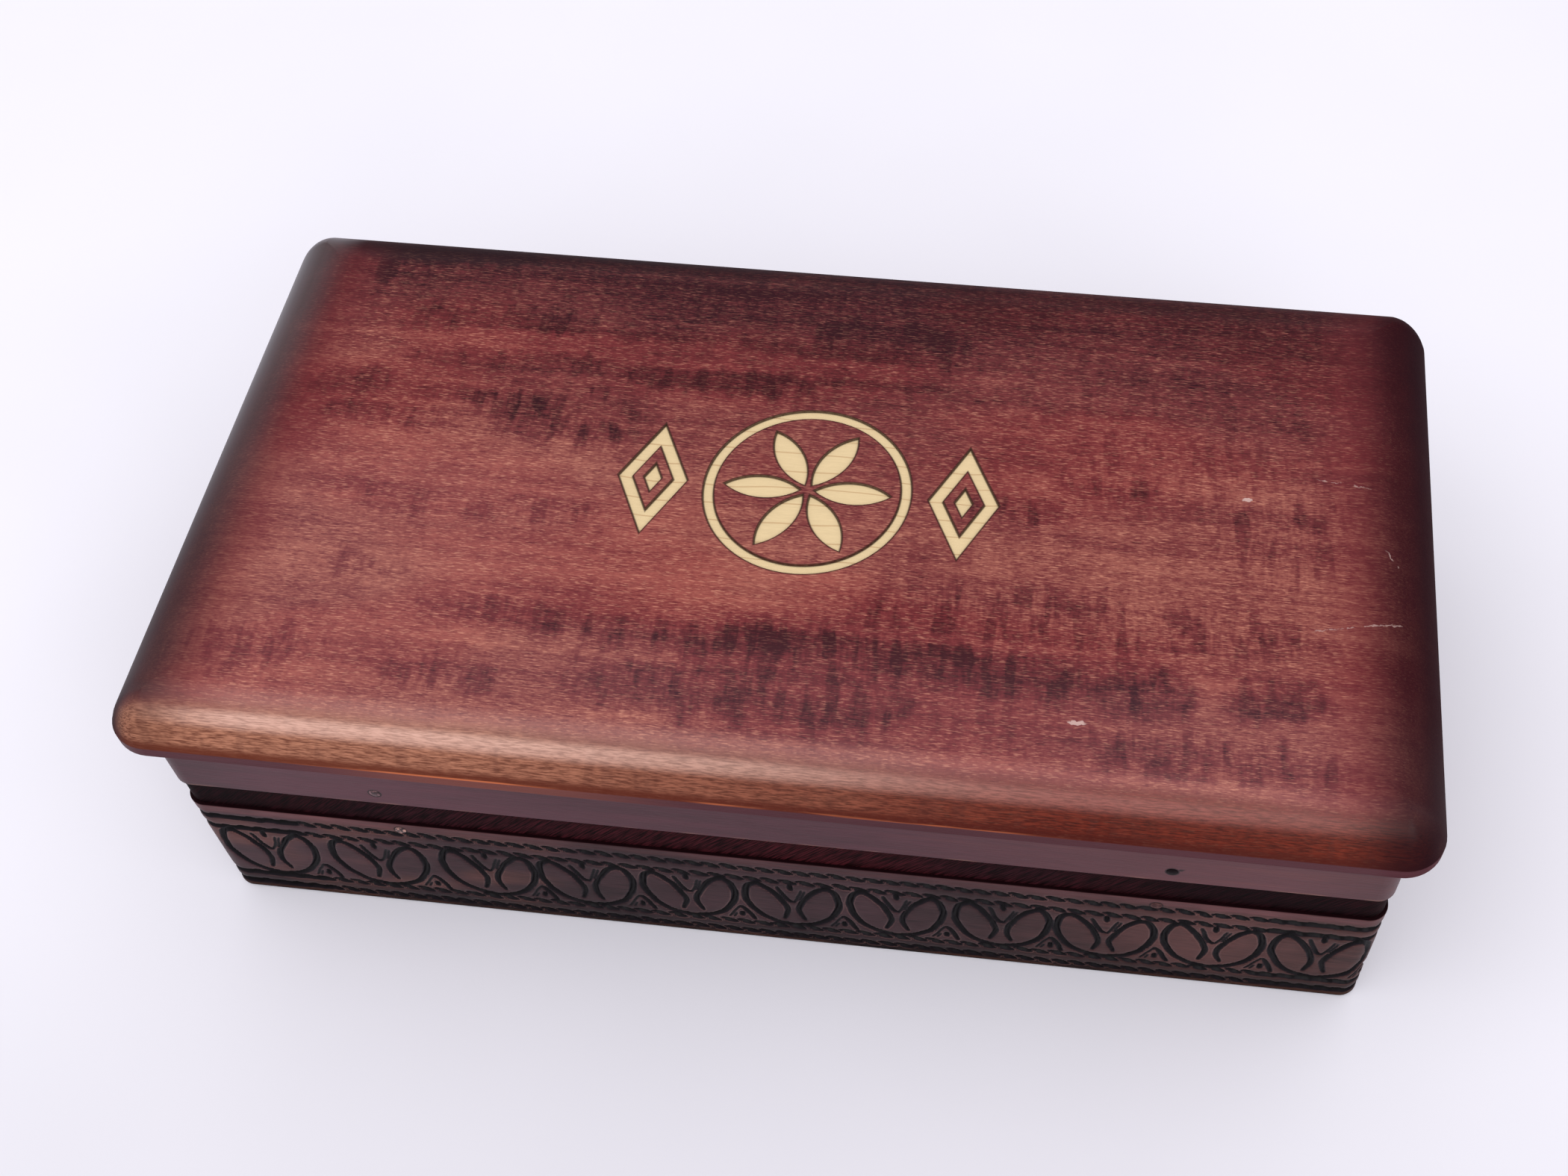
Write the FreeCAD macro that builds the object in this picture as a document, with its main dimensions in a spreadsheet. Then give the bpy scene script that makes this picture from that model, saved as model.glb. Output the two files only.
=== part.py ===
"""Keepsake box whose lid slides off to the left on two dovetailed runners.

The box stands on the XY plane, centred on the origin, with its long side along X and
its front towards -Y.  Sizes are millimetres, and the sheet "sizes" holds them.
"""

import math
import os
import re

import FreeCAD
import Part
import Sketcher

# ------------------------------------------------------------------ driving sizes

SIZES = {
    # lid board: a plank with a low upright edge under a broad rounded shoulder
    "lid_length": 300.0,
    "lid_width": 162.5,
    "lid_thickness": 14.5,
    "lid_edge_height": 3.2,
    "shoulder_radius": 18.0,
    "lid_corner_radius": 10.0,
    "lid_overhang": 5.8,
    # carved walls and the bottom board let into them
    "wall_thickness": 9.0,
    "wall_height": 42.5,
    "corner_radius": 4.8,
    "corner_rebate": 2.5,
    "bottom_thickness": 4.0,
    "bottom_rebate": 4.5,
    "arris_round": 0.4,
    # frieze cut in the walls: pairs of leaning ovals between two rows of rope above and below
    "oval_half_width": 5.0,
    "oval_half_height": 10.2,
    "oval_lean": 14.0,
    "oval_offset": 6.5,
    "oval_height": 20.9,
    "pair_pitch": 25.6,
    "long_wall_pairs": 11.0,
    "end_wall_pairs": 5.0,
    "groove_width": 1.5,
    "groove_depth": 0.8,
    "rope_top": 37.3,
    "rope_upper": 32.3,
    "rope_lower": 8.6,
    "rope_foot": 3.9,
    # dark rails that cap the walls, each long one with a leg behind its wall
    "rail_height": 9.3,
    "rail_setback": 0.8,
    "rail_leg_thickness": 9.0,
    "rail_leg_drop": 8.5,
    # dovetail way cut in the top of each long rail, open at the left end
    "way_inset": 12.5,
    "way_mouth": 4.0,
    "way_floor": 6.4,
    "way_depth": 6.5,
    "way_stop": 10.0,
    "slide_clearance": 0.25,
    "end_clearance": 0.3,
    # frame under the lid board, and the runners pinned behind it
    "joint_gap": 0.2,
    "frame_height": 22.5,
    "runner_leg_thickness": 7.0,
    "runner_leg_height": 12.0,
    # wooden pins through wall and rail, and through frame and runner
    "pin_diameter": 2.8,
    "wall_pin_spacing": 182.0,
    "wall_pin_height": 39.4,
    "frame_pin_spacing": 186.0,
    "frame_pin_height": 56.8,
    # shallow ornament sunk in the lid: a rosette in a ring between two lozenges
    "ornament_depth": 0.5,
    "ring_radius": 25.0,
    "ring_line": 2.6,
    "petal_count": 6.0,
    "petal_root": 1.6,
    "petal_tip": 20.2,
    "petal_fullness": 0.6,
    "lozenge_offset": 37.5,
    "lozenge_half_width": 8.5,
    "lozenge_half_height": 17.0,
    "lozenge_hole": 0.58,
    "lozenge_heart": 0.26,
}

# Sizes that follow from those above, kept as formulas in the same sheet.
DERIVED = {
    "half_length": "lid_length / 2 - lid_overhang",
    "half_width": "lid_width / 2 - lid_overhang",
    "inner_half_length": "half_length - wall_thickness",
    "inner_half_width": "half_width - wall_thickness",
    "tenon_half_width": "inner_half_width + corner_rebate",
    "rail_top": "wall_height + rail_height",
    "rail_half_length": "half_length - rail_setback",
    "rail_half_width": "half_width - rail_setback",
    "rail_inner": "inner_half_width - rail_leg_thickness",
    "frame_bottom": "rail_top + joint_gap",
    "lid_bottom": "frame_bottom + frame_height",
    "lid_top": "lid_bottom + lid_thickness",
    "edge_top": "lid_bottom + lid_edge_height",
    "shoulder_centre": "lid_top - shoulder_radius",
    "shoulder_rise": "lid_top - edge_top",
    "shoulder_run": "sqrt(shoulder_radius ^ 2 - (shoulder_radius - shoulder_rise) ^ 2)",
    "way_centre": "half_width - way_inset",
    "way_bottom": "rail_top - way_depth",
    "way_end": "half_length - way_stop",
    "flank_slope": "(way_floor - way_mouth) / 2 / way_depth",
    "runner_bottom": "way_bottom + slide_clearance",
    "runner_root": "way_mouth / 2 - slide_clearance - flank_slope * joint_gap",
    "runner_foot": "way_floor / 2 - slide_clearance - flank_slope * slide_clearance",
    "petal_chord": "petal_tip - petal_root",
    "petal_middle": "(petal_tip + petal_root) / 2",
}

NAMES = {*SIZES, *DERIVED}

# ------------------------------------------------------------------ document and sheet

doc = FreeCAD.newDocument("sliding_lid_box")
sheet = doc.addObject("Spreadsheet::Sheet", "sizes")
trial = doc.addObject("Spreadsheet::Sheet", "trial")


def fill_sheet():
    """Write the driving sizes as plain numbers and the derived ones as formulas."""
    cells = [(alias, str(value)) for alias, value in SIZES.items()]
    cells += [(alias, "=" + formula) for alias, formula in DERIVED.items()]
    for row, (alias, content) in enumerate(cells, start=1):
        sheet.set(f"A{row}", alias)
        sheet.set(f"B{row}", content)
        sheet.setAlias(f"B{row}", alias)
    doc.recompute()


def bound(formula):
    """Address every alias in a formula to the sheet, as an object's expression needs."""
    return re.sub(r"[a-z_]+", lambda word: "sizes." + word[0] if word[0] in NAMES else word[0], formula)


def number(formula):
    """Work a formula out with the sheet's present values, on a trial sheet that leaves it untouched."""
    trial.set("A1", "=0 + " + bound(formula))
    trial.recompute()
    return float(trial.get("A1"))


# ------------------------------------------------------------------ modelling helpers

subparts = []


def new_body(name):
    """Start a sub-part as a PartDesign body."""
    body = doc.addObject("PartDesign::Body", name)
    body.Label = name
    subparts.append(body)
    return body


def new_sketch(body, role, name, offset="0"):
    """Lay a sketch on one of the body's own origin planes, moved along its normal."""
    sketch = body.newObject("Sketcher::SketchObject", f"{body.Name}_{name}")
    plane = next(feature for feature in body.Origin.OriginFeatures if feature.Role == role)
    sketch.AttachmentSupport = [(plane, "")]
    sketch.MapMode = "FlatFace"
    sketch.setExpression("AttachmentOffset.Base.z", bound(offset))
    return sketch


def place_point(sketch, geometry, position, x_formula, y_formula):
    """Dimension a point from the sketch's origin; a formula marked ~ is only its start."""
    for axis, formula in (("X", x_formula), ("Y", y_formula)):
        if formula.startswith("~"):
            continue
        start = number(formula)
        constraint = Sketcher.Constraint("Distance" + axis, -1, 1, geometry, position, start)
        index = sketch.addConstraint(constraint)
        sketch.setExpression(f"Constraints[{index}]", bound(formula))


def outline(sketch, corners, arcs=None):
    """Draw a closed outline through corners given as formulas.

    arcs maps a corner's index to the centre of the arc that leaves it, turning
    counter-clockwise.  A coordinate that the arc itself decides is marked ~.
    """
    arcs = arcs or {}
    first = sketch.GeometryCount
    count = len(corners)
    starts = [FreeCAD.Vector(number(x.strip("~")), number(y.strip("~")), 0) for x, y in corners]
    for index in range(count):
        begin, end = starts[index], starts[(index + 1) % count]
        if index in arcs:
            centre = FreeCAD.Vector(number(arcs[index][0]), number(arcs[index][1]), 0)
            circle = Part.Circle(centre, FreeCAD.Vector(0, 0, 1), (begin - centre).Length)
            angles = [math.atan2(point.y - centre.y, point.x - centre.x) for point in (begin, end)]
            sketch.addGeometry(Part.ArcOfCircle(circle, angles[0], angles[1]), False)
        else:
            sketch.addGeometry(Part.LineSegment(begin, end), False)
    for index in range(count):
        following = (index + 1) % count
        sketch.addConstraint(Sketcher.Constraint("Coincident", first + index, 2, first + following, 1))
    for index, centre in arcs.items():
        place_point(sketch, first + index, 3, *centre)
    for index, corner in enumerate(corners):
        place_point(sketch, first + index, 1, corner[0], corner[1])


def rectangle(sketch, left, right, low, high):
    """Draw a closed rectangle between four formulas."""
    outline(sketch, [(left, low), (right, low), (right, high), (left, high)])


def circle(sketch, x_formula, y_formula, radius):
    """Draw a circle at a point, with its radius from a formula."""
    centre = FreeCAD.Vector(number(x_formula), number(y_formula), 0)
    index = sketch.addGeometry(Part.Circle(centre, FreeCAD.Vector(0, 0, 1), number(radius)), False)
    place_point(sketch, index, 3, x_formula, y_formula)
    constraint = sketch.addConstraint(Sketcher.Constraint("Radius", index, number(radius)))
    sketch.setExpression(f"Constraints[{constraint}]", bound(radius))


def feature(body, kind, sketch, name):
    """Add a PartDesign feature to the body, made from a sketch."""
    item = body.newObject("PartDesign::" + kind, f"{body.Name}_{name}")
    item.Profile = sketch
    sketch.Visibility = False
    return item


def pad(body, sketch, name, length, symmetric=True, reverse=False):
    """Extrude a section: both ways from its plane, or one way."""
    item = feature(body, "Pad", sketch, name)
    item.SideType = "Symmetric" if symmetric else "One side"
    item.Reversed = reverse
    item.setExpression("Length", bound(length))
    doc.recompute()
    return item


def pocket(body, sketch, name, depth=None, reverse=False):
    """Cut a section away: to a depth behind its plane (in front if reversed), or right through both ways."""
    before = body.Shape.Volume
    item = feature(body, "Pocket", sketch, name)
    item.Reversed = reverse
    if depth is None:
        item.SideType = "Symmetric"
        item.Type = "ThroughAll"
    else:
        item.setExpression("Length", bound(depth))
    doc.recompute()
    if body.Shape.Volume >= before:
        raise RuntimeError(f"{item.Name} cuts nothing")
    return item


def round_edges(body, name, radius, wanted):
    """Fillet the edges of the body's latest feature that the test picks."""
    base = body.Tip
    edges = [f"Edge{index}" for index, edge in enumerate(base.Shape.Edges, start=1) if wanted(edge)]
    if not edges:
        raise RuntimeError(f"{body.Name} has no edge to round")
    item = body.newObject("PartDesign::Fillet", f"{body.Name}_{name}")
    item.Base = (base, edges)
    item.setExpression("Radius", bound(radius))
    doc.recompute()
    return item


def upright_at(x_size, y_size):
    """Pick the upright edges at plus and minus x_size, on the line y_size."""
    def wanted(edge):
        box = edge.BoundBox
        on_corner = abs(abs(box.XMin) - x_size) < 0.01 and abs(box.YMin - y_size) < 0.01
        return box.ZLength > 5 and box.XLength < 0.01 and box.YLength < 0.01 and on_corner
    return wanted


def level_at(z_size, outside):
    """Pick the level edges at height z_size that lie on the outer faces."""
    def wanted(edge):
        box = edge.BoundBox
        return box.ZLength < 0.01 and abs(box.ZMin - z_size) < 0.01 and outside(edge.CenterOfMass)
    return wanted


def signed(side, formula):
    """Put a formula on the front (side -1) or the back (side 1)."""
    return f"{side} * ({formula})"


SIDES = {"front": -1, "back": 1}
ENDS = {"left": -1, "right": 1}
OVAL_CHOPS = 8
ROPES = ("rope_top", "rope_upper", "rope_lower", "rope_foot")

# ------------------------------------------------------------------ box walls


def chopped_oval(sketch, middle, side, growth):
    """Draw one leaning oval as straight chisel chops, grown past its middle line."""
    wide, tall = f"(oval_half_width + {growth})", f"(oval_half_height + {growth})"
    lean = math.radians(float(sheet.oval_lean)) * side
    corners = []
    for chop in range(OVAL_CHOPS):
        angle = math.tau * (chop + 0.5) / OVAL_CHOPS
        across, along = math.cos(angle), math.sin(angle)
        x = f"{across * math.cos(lean):.4f} * {wide} + {along * math.sin(lean):.4f} * {tall}"
        z = f"{-across * math.sin(lean):.4f} * {wide} + {along * math.cos(lean):.4f} * {tall}"
        corners.append((f"{middle} + {side} * oval_offset + {x}", f"oval_height + {z}"))
    outline(sketch, corners)


def frieze(body, role, face, outward, span, pairs):
    """Cut the rope grooves, then a row of paired ovals, into a wall's outer face.

    outward is 1 where the face looks along its plane's normal, and -1 where it looks back.
    """
    ropes = new_sketch(body, role, "ropes", face)
    half = "groove_width / 2"
    for height in ROPES:
        rectangle(ropes, f"-({span})", span, f"{height} - {half}", f"{height} + {half}")
    pocket(body, ropes, "rope_grooves", "groove_depth", reverse=outward < 0)
    ovals = new_sketch(body, role, "ovals", face)
    first = f"(-pair_pitch * ({pairs} - 1) / 2)"
    for side in (-1, 1):
        for growth in (half, f"(-{half})"):
            chopped_oval(ovals, first, side, growth)
    cut = pocket(body, ovals, "oval_grooves", "groove_depth", reverse=outward < 0)
    row = body.newObject("PartDesign::LinearPattern", f"{body.Name}_oval_row")
    row.Originals = [cut]
    row.Direction = (ovals, ["H_Axis"])
    row.Mode = "Spacing"
    row.setExpression("Offset", bound("pair_pitch"))
    row.setExpression("Occurrences", bound(pairs))
    body.Tip = row
    doc.recompute()


def end_rebates(body, side):
    """Cut the shallow rebates at both ends of a long piece that take the end pieces."""
    sketch = new_sketch(body, "XY_Plane", "end_rebates")
    inner, tenon = signed(side, "inner_half_width"), signed(side, "tenon_half_width")
    for end in ENDS.values():
        rectangle(sketch, signed(end, "inner_half_length"), signed(end, "half_length"), inner, tenon)
    pocket(body, sketch, "end_rebates")


def pin_holes(body, spacing, height):
    """Bore the two pin holes through a long piece."""
    sketch = new_sketch(body, "XZ_Plane", "pin_holes")
    for end in ENDS.values():
        circle(sketch, signed(end, spacing + " / 2"), height, "pin_diameter / 2")
    pocket(body, sketch, "pin_holes")


def long_wall(name, side):
    """Front or back wall: full length, rebated for the bottom and for the end walls."""
    body = new_body(name + "_wall")
    outer, inner = signed(side, "half_width"), signed(side, "inner_half_width")
    section = new_sketch(body, "YZ_Plane", "section")
    rectangle(section, outer, inner, "0", "wall_height")
    pad(body, section, "board", "2 * half_length")
    rebate = new_sketch(body, "YZ_Plane", "bottom_rebate", "inner_half_length + bottom_rebate")
    rectangle(rebate, inner, signed(side, "inner_half_width + bottom_rebate"), "0", "bottom_thickness")
    pocket(body, rebate, "bottom_rebate", "2 * (inner_half_length + bottom_rebate)")
    end_rebates(body, side)
    pin_holes(body, "wall_pin_spacing", "wall_pin_height")
    corner = upright_at(sheet.half_length, side * sheet.half_width)
    round_edges(body, "corners", "corner_radius", corner)
    frieze(body, "XZ_Plane", signed(-side, "half_width"), -side, "half_length", "long_wall_pairs")


def end_wall(name, end):
    """Left or right wall: stands between the long walls, in their rebates."""
    body = new_body(name + "_end_wall")
    outer, inner = signed(end, "half_length"), signed(end, "inner_half_length")
    stepped = signed(end, "inner_half_length + bottom_rebate")
    section = new_sketch(body, "XZ_Plane", "section")
    corners = [(outer, "0"), (outer, "wall_height"), (inner, "wall_height")]
    corners += [(inner, "bottom_thickness"), (stepped, "bottom_thickness"), (stepped, "0")]
    outline(section, corners)
    pad(body, section, "board", "2 * tenon_half_width")
    frieze(body, "YZ_Plane", outer, end, "tenon_half_width", "end_wall_pairs")


def bottom_board():
    """Thin board let into the rebates, flush with the feet of the walls."""
    body = new_body("bottom_board")
    plan = new_sketch(body, "XY_Plane", "plan")
    half_x, half_y = "inner_half_length + bottom_rebate", "inner_half_width + bottom_rebate"
    rectangle(plan, signed(-1, half_x), half_x, signed(-1, half_y), half_y)
    pad(body, plan, "board", "bottom_thickness", symmetric=False)


# ------------------------------------------------------------------ rails on the walls


def long_rail(name, side):
    """Front or back rail: caps the wall, hangs a leg behind it and holds the dovetail way."""
    body = new_body(name + "_rail")
    outer, inner = signed(side, "rail_half_width"), signed(side, "rail_inner")
    cap = new_sketch(body, "YZ_Plane", "cap_section")
    rectangle(cap, outer, inner, "wall_height", "rail_top")
    pad(body, cap, "cap", "2 * rail_half_length")
    leg = new_sketch(body, "YZ_Plane", "leg_section")
    rectangle(leg, signed(side, "inner_half_width"), inner, "wall_height - rail_leg_drop", "wall_height")
    pad(body, leg, "leg", "2 * inner_half_length")
    way = new_sketch(body, "YZ_Plane", "way_section", "way_end")
    mouth, floor = "way_mouth / 2", "way_floor / 2"
    centre = signed(side, "way_centre")
    corners = [(f"{centre} - {mouth}", "rail_top"), (f"{centre} - {floor}", "way_bottom")]
    corners += [(f"{centre} + {floor}", "way_bottom"), (f"{centre} + {mouth}", "rail_top")]
    outline(way, corners)
    pocket(body, way, "dovetail_way", "way_end + half_length")
    pin_holes(body, "wall_pin_spacing", "wall_pin_height")
    corner = upright_at(sheet.rail_half_length, side * sheet.rail_half_width)
    round_edges(body, "corners", "corner_radius - rail_setback", corner)


def end_rail(name, end):
    """Left or right rail: caps the end wall between the long rails."""
    body = new_body(name + "_end_rail")
    section = new_sketch(body, "XZ_Plane", "section")
    outer, inner = signed(end, "rail_half_length"), signed(end, "inner_half_length")
    rectangle(section, outer, inner, "wall_height", "rail_top")
    pad(body, section, "rail", "2 * rail_inner")


# ------------------------------------------------------------------ lid frame and runners


def long_frame(name, side):
    """Front or back board of the frame that carries the lid."""
    body = new_body(name + "_frame")
    section = new_sketch(body, "YZ_Plane", "section")
    outer, inner = signed(side, "half_width"), signed(side, "inner_half_width")
    rectangle(section, outer, inner, "frame_bottom", "lid_bottom")
    pad(body, section, "board", "2 * half_length")
    end_rebates(body, side)
    pin_holes(body, "frame_pin_spacing", "frame_pin_height")
    round_edges(body, "corners", "corner_radius", upright_at(sheet.half_length, side * sheet.half_width))
    arris = level_at(sheet.frame_bottom, lambda point: abs(point.y) > sheet.half_width - 2)
    round_edges(body, "arris", "arris_round", arris)


def end_frame(name, end):
    """Left or right board of the frame, set in the rebates of the long ones."""
    body = new_body(name + "_end_frame")
    section = new_sketch(body, "XZ_Plane", "section")
    outer, inner = signed(end, "half_length"), signed(end, "inner_half_length")
    rectangle(section, outer, inner, "frame_bottom", "lid_bottom")
    pad(body, section, "board", "2 * tenon_half_width")
    arris = level_at(sheet.frame_bottom, lambda point: abs(point.x) > sheet.half_length - 0.1)
    round_edges(body, "arris", "arris_round", arris)


def runner(name, side):
    """Runner pinned behind the frame, with a dovetail that hangs into the rail's way."""
    body = new_body(name + "_runner")
    leg = new_sketch(body, "YZ_Plane", "leg_section")
    outer = signed(side, "inner_half_width")
    inner = signed(side, "inner_half_width - runner_leg_thickness")
    rectangle(leg, outer, inner, "frame_bottom", "frame_bottom + runner_leg_height")
    pad(body, leg, "leg", "2 * inner_half_length")
    dovetail = new_sketch(body, "YZ_Plane", "dovetail_section", "way_end - end_clearance")
    centre = signed(side, "way_centre")
    corners = [(f"{centre} - runner_root", "frame_bottom"), (f"{centre} - runner_foot", "runner_bottom")]
    corners += [(f"{centre} + runner_foot", "runner_bottom"), (f"{centre} + runner_root", "frame_bottom")]
    outline(dovetail, corners)
    length = "way_end - end_clearance + rail_half_length"
    pad(body, dovetail, "dovetail", length, symmetric=False, reverse=True)
    pin_holes(body, "frame_pin_spacing", "frame_pin_height")


def pin_pair(name, side, spacing, height, backing):
    """Two wooden pins through a long board and the piece behind it, as one group."""
    pins = []
    for end_name, end in ENDS.items():
        pin = doc.addObject("Part::Cylinder", f"{name}_{end_name}")
        pin.Placement.Rotation = FreeCAD.Rotation(FreeCAD.Vector(1, 0, 0), 90 * side)
        pin.setExpression("Radius", bound("pin_diameter / 2"))
        pin.setExpression("Height", bound(f"wall_thickness + {backing}"))
        pin.setExpression("Placement.Base.x", bound(signed(end, spacing + " / 2")))
        pin.setExpression("Placement.Base.y", bound(signed(side, "half_width")))
        pin.setExpression("Placement.Base.z", bound(height))
        pins.append(pin)
    group = doc.addObject("Part::Compound", name)
    group.Label = name
    group.Links = pins
    subparts.append(group)


# ------------------------------------------------------------------ lid board


def shoulder_sections(body):
    """Plane the plank: front and back shoulders in its section, then both ends."""
    section = new_sketch(body, "YZ_Plane", "section")
    half, top = "lid_width / 2", "lid_top"
    shoulder = f"{half} - shoulder_run"
    corners = [
        (f"-{half}", "lid_bottom"),
        (half, "lid_bottom"),
        ("~" + half, "edge_top"),
        (shoulder, top),
        (f"-({shoulder})", top),
        (f"~-{half}", "edge_top"),
    ]
    centres = {2: (shoulder, "shoulder_centre"), 4: (f"-({shoulder})", "shoulder_centre")}
    outline(section, corners, centres)
    pad(body, section, "plank", "lid_length")


def end_shoulders(body):
    """Round the two ends over with the same shoulder."""
    half, spare = "lid_length / 2", "shoulder_run"
    shoulder = f"{half} - shoulder_run"
    sketch = new_sketch(body, "XZ_Plane", "end_shoulders")
    right = [
        ("~" + half, "edge_top"),
        (shoulder, "lid_top"),
        (shoulder, f"lid_top + {spare}"),
        (f"{half} + {spare}", f"lid_top + {spare}"),
        (f"{half} + {spare}", "edge_top"),
    ]
    outline(sketch, right, {0: (shoulder, "shoulder_centre")})
    left = [
        (f"-({shoulder})", "lid_top"),
        (f"~-{half}", "edge_top"),
        (f"-({half} + {spare})", "edge_top"),
        (f"-({half} + {spare})", f"lid_top + {spare}"),
        (f"-({shoulder})", f"lid_top + {spare}"),
    ]
    outline(sketch, left, {0: (f"-({shoulder})", "shoulder_centre")})
    pocket(body, sketch, "end_shoulders")


def lid_corner(body, name, x_side, y_side):
    """Turn one corner round: the shoulder follows the plan radius about an upright axis."""
    sketch = new_sketch(body, "XZ_Plane", f"{name}_corner")
    turn = math.degrees(math.atan2(y_side, x_side))
    rotation = FreeCAD.Rotation(FreeCAD.Vector(0, 1, 0), turn)
    sketch.AttachmentOffset = FreeCAD.Placement(FreeCAD.Vector(), rotation)
    axis_x = signed(x_side, "lid_length / 2 - lid_corner_radius")
    axis_y = signed(-y_side, "lid_width / 2 - lid_corner_radius")
    sketch.setExpression("AttachmentOffset.Base.x", bound(axis_x))
    sketch.setExpression("AttachmentOffset.Base.z", bound(axis_y))
    reach, radius = "lid_corner_radius * 1.6", "lid_corner_radius"
    centre = ("lid_corner_radius - shoulder_run", "shoulder_centre")
    corners = [
        (radius, "edge_top"),
        ("0", "~lid_top"),
        ("0", "lid_top + lid_edge_height"),
        (reach, "lid_top + lid_edge_height"),
        (reach, "lid_bottom - lid_edge_height"),
        (radius, "lid_bottom - lid_edge_height"),
    ]
    outline(sketch, corners, {0: centre})
    groove = feature(body, "Groove", sketch, f"{name}_corner_turn")
    groove.ReferenceAxis = (sketch, ["V_Axis"])
    groove.Angle = 90
    groove.Midplane = True
    doc.recompute()


def ornament(body):
    """Sink the ring, the six-petal rosette and the two lozenges into the top."""
    ring = new_sketch(body, "XY_Plane", "ring", "lid_top")
    circle(ring, "0", "0", "ring_radius")
    circle(ring, "0", "0", "ring_radius - ring_line")
    pocket(body, ring, "ring_cut", "ornament_depth")

    petal = new_sketch(body, "XY_Plane", "petal", "lid_top")
    root, tip = ("petal_root", "0"), ("~petal_tip", "~0")
    bow = "petal_fullness * petal_chord"
    arcs = {0: ("petal_middle", bow), 1: ("petal_middle", f"-{bow}")}
    outline(petal, [root, tip], arcs)
    cut = pocket(body, petal, "petal_cut", "ornament_depth")
    rosette = body.newObject("PartDesign::PolarPattern", f"{body.Name}_rosette")
    rosette.Originals = [cut]
    rosette.Axis = (petal, ["N_Axis"])
    rosette.Angle = 360
    rosette.setExpression("Occurrences", bound("petal_count"))
    body.Tip = rosette
    doc.recompute()

    lozenge = new_sketch(body, "XY_Plane", "lozenge", "lid_top")
    for size in ("1", "lozenge_hole", "lozenge_heart"):
        wide, tall = f"{size} * lozenge_half_width", f"{size} * lozenge_half_height"
        corners = [(f"lozenge_offset - {wide}", "0"), ("lozenge_offset", f"-{tall}")]
        corners += [(f"lozenge_offset + {wide}", "0"), ("lozenge_offset", tall)]
        outline(lozenge, corners)
    cut = pocket(body, lozenge, "lozenge_cut", "ornament_depth")
    pair = body.newObject("PartDesign::Mirrored", f"{body.Name}_lozenges")
    pair.Originals = [cut]
    plane = next(item for item in body.Origin.OriginFeatures if item.Role == "YZ_Plane")
    pair.MirrorPlane = (plane, [""])
    body.Tip = pair
    doc.recompute()


def lid_board():
    """Lid plank with its shoulders, round corners, eased lower edge and ornament."""
    body = new_body("lid_board")
    shoulder_sections(body)
    end_shoulders(body)
    for end_name, x_side in ENDS.items():
        for side_name, y_side in SIDES.items():
            lid_corner(body, f"{side_name}_{end_name}", x_side, y_side)
    ornament(body)
    arris = level_at(sheet.lid_bottom, lambda point: True)
    round_edges(body, "arris", "arris_round", arris)


# ------------------------------------------------------------------ build, check, export

fill_sheet()
bottom_board()
for side_name, side in SIDES.items():
    long_wall(side_name, side)
    long_rail(side_name, side)
for end_name, end in ENDS.items():
    end_wall(end_name, end)
    end_rail(end_name, end)
for side_name, side in SIDES.items():
    wall_pins = f"{side_name}_wall_pins"
    pin_pair(wall_pins, side, "wall_pin_spacing", "wall_pin_height", "rail_leg_thickness")
lid_board()
for side_name, side in SIDES.items():
    long_frame(side_name, side)
    runner(side_name, side)
    frame_pins = f"{side_name}_frame_pins"
    pin_pair(frame_pins, side, "frame_pin_spacing", "frame_pin_height", "runner_leg_thickness")
for end_name, end in ENDS.items():
    end_frame(end_name, end)
doc.removeObject(trial.Name)
doc.recompute()

for item in doc.Objects:
    if {"Invalid", "Error"} & set(item.State):
        raise RuntimeError(f"{item.Name} is {item.State}")
    if item.TypeId == "Sketcher::SketchObject" and not item.FullyConstrained:
        raise RuntimeError(f"{item.Name} is not fully dimensioned")
for subpart in subparts:
    if subpart.Shape.isNull() or not subpart.Shape.isValid():
        raise RuntimeError(f"{subpart.Label} has no valid shape")

os.makedirs("parts", exist_ok=True)
for subpart in subparts:
    subpart.Shape.exportStep(f"parts/{subpart.Label}.step")
    box = subpart.Shape.BoundBox
    print(f"{subpart.Label:18} {len(subpart.Shape.Solids)} solid, {subpart.Shape.Volume:10.1f} mm3, "
          f"z {box.ZMin:.2f} to {box.ZMax:.2f}")
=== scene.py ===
"""Carve, stain and polish the keepsake box, and set it on a pale stage.

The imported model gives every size; lengths here are metres, and MM turns millimetres into them.
"""

import math
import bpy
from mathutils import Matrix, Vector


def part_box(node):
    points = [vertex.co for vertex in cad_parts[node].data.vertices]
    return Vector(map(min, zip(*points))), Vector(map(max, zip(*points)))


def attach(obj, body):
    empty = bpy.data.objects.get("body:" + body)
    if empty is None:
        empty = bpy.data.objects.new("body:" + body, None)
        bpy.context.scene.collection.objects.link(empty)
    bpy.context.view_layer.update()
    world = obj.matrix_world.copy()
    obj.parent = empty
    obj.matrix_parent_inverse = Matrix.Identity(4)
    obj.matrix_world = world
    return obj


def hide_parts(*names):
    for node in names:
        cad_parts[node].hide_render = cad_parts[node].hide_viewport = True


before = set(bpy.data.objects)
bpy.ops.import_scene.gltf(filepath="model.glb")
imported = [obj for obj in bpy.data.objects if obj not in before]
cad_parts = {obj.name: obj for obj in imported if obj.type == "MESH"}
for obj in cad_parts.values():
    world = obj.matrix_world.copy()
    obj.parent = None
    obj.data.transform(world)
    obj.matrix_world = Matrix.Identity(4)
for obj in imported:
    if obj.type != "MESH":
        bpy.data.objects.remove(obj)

from types import SimpleNamespace

import bmesh
import bpy
from bpy.props import FloatProperty, FloatVectorProperty, IntProperty, PointerProperty
from mathutils import Matrix, Vector

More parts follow.
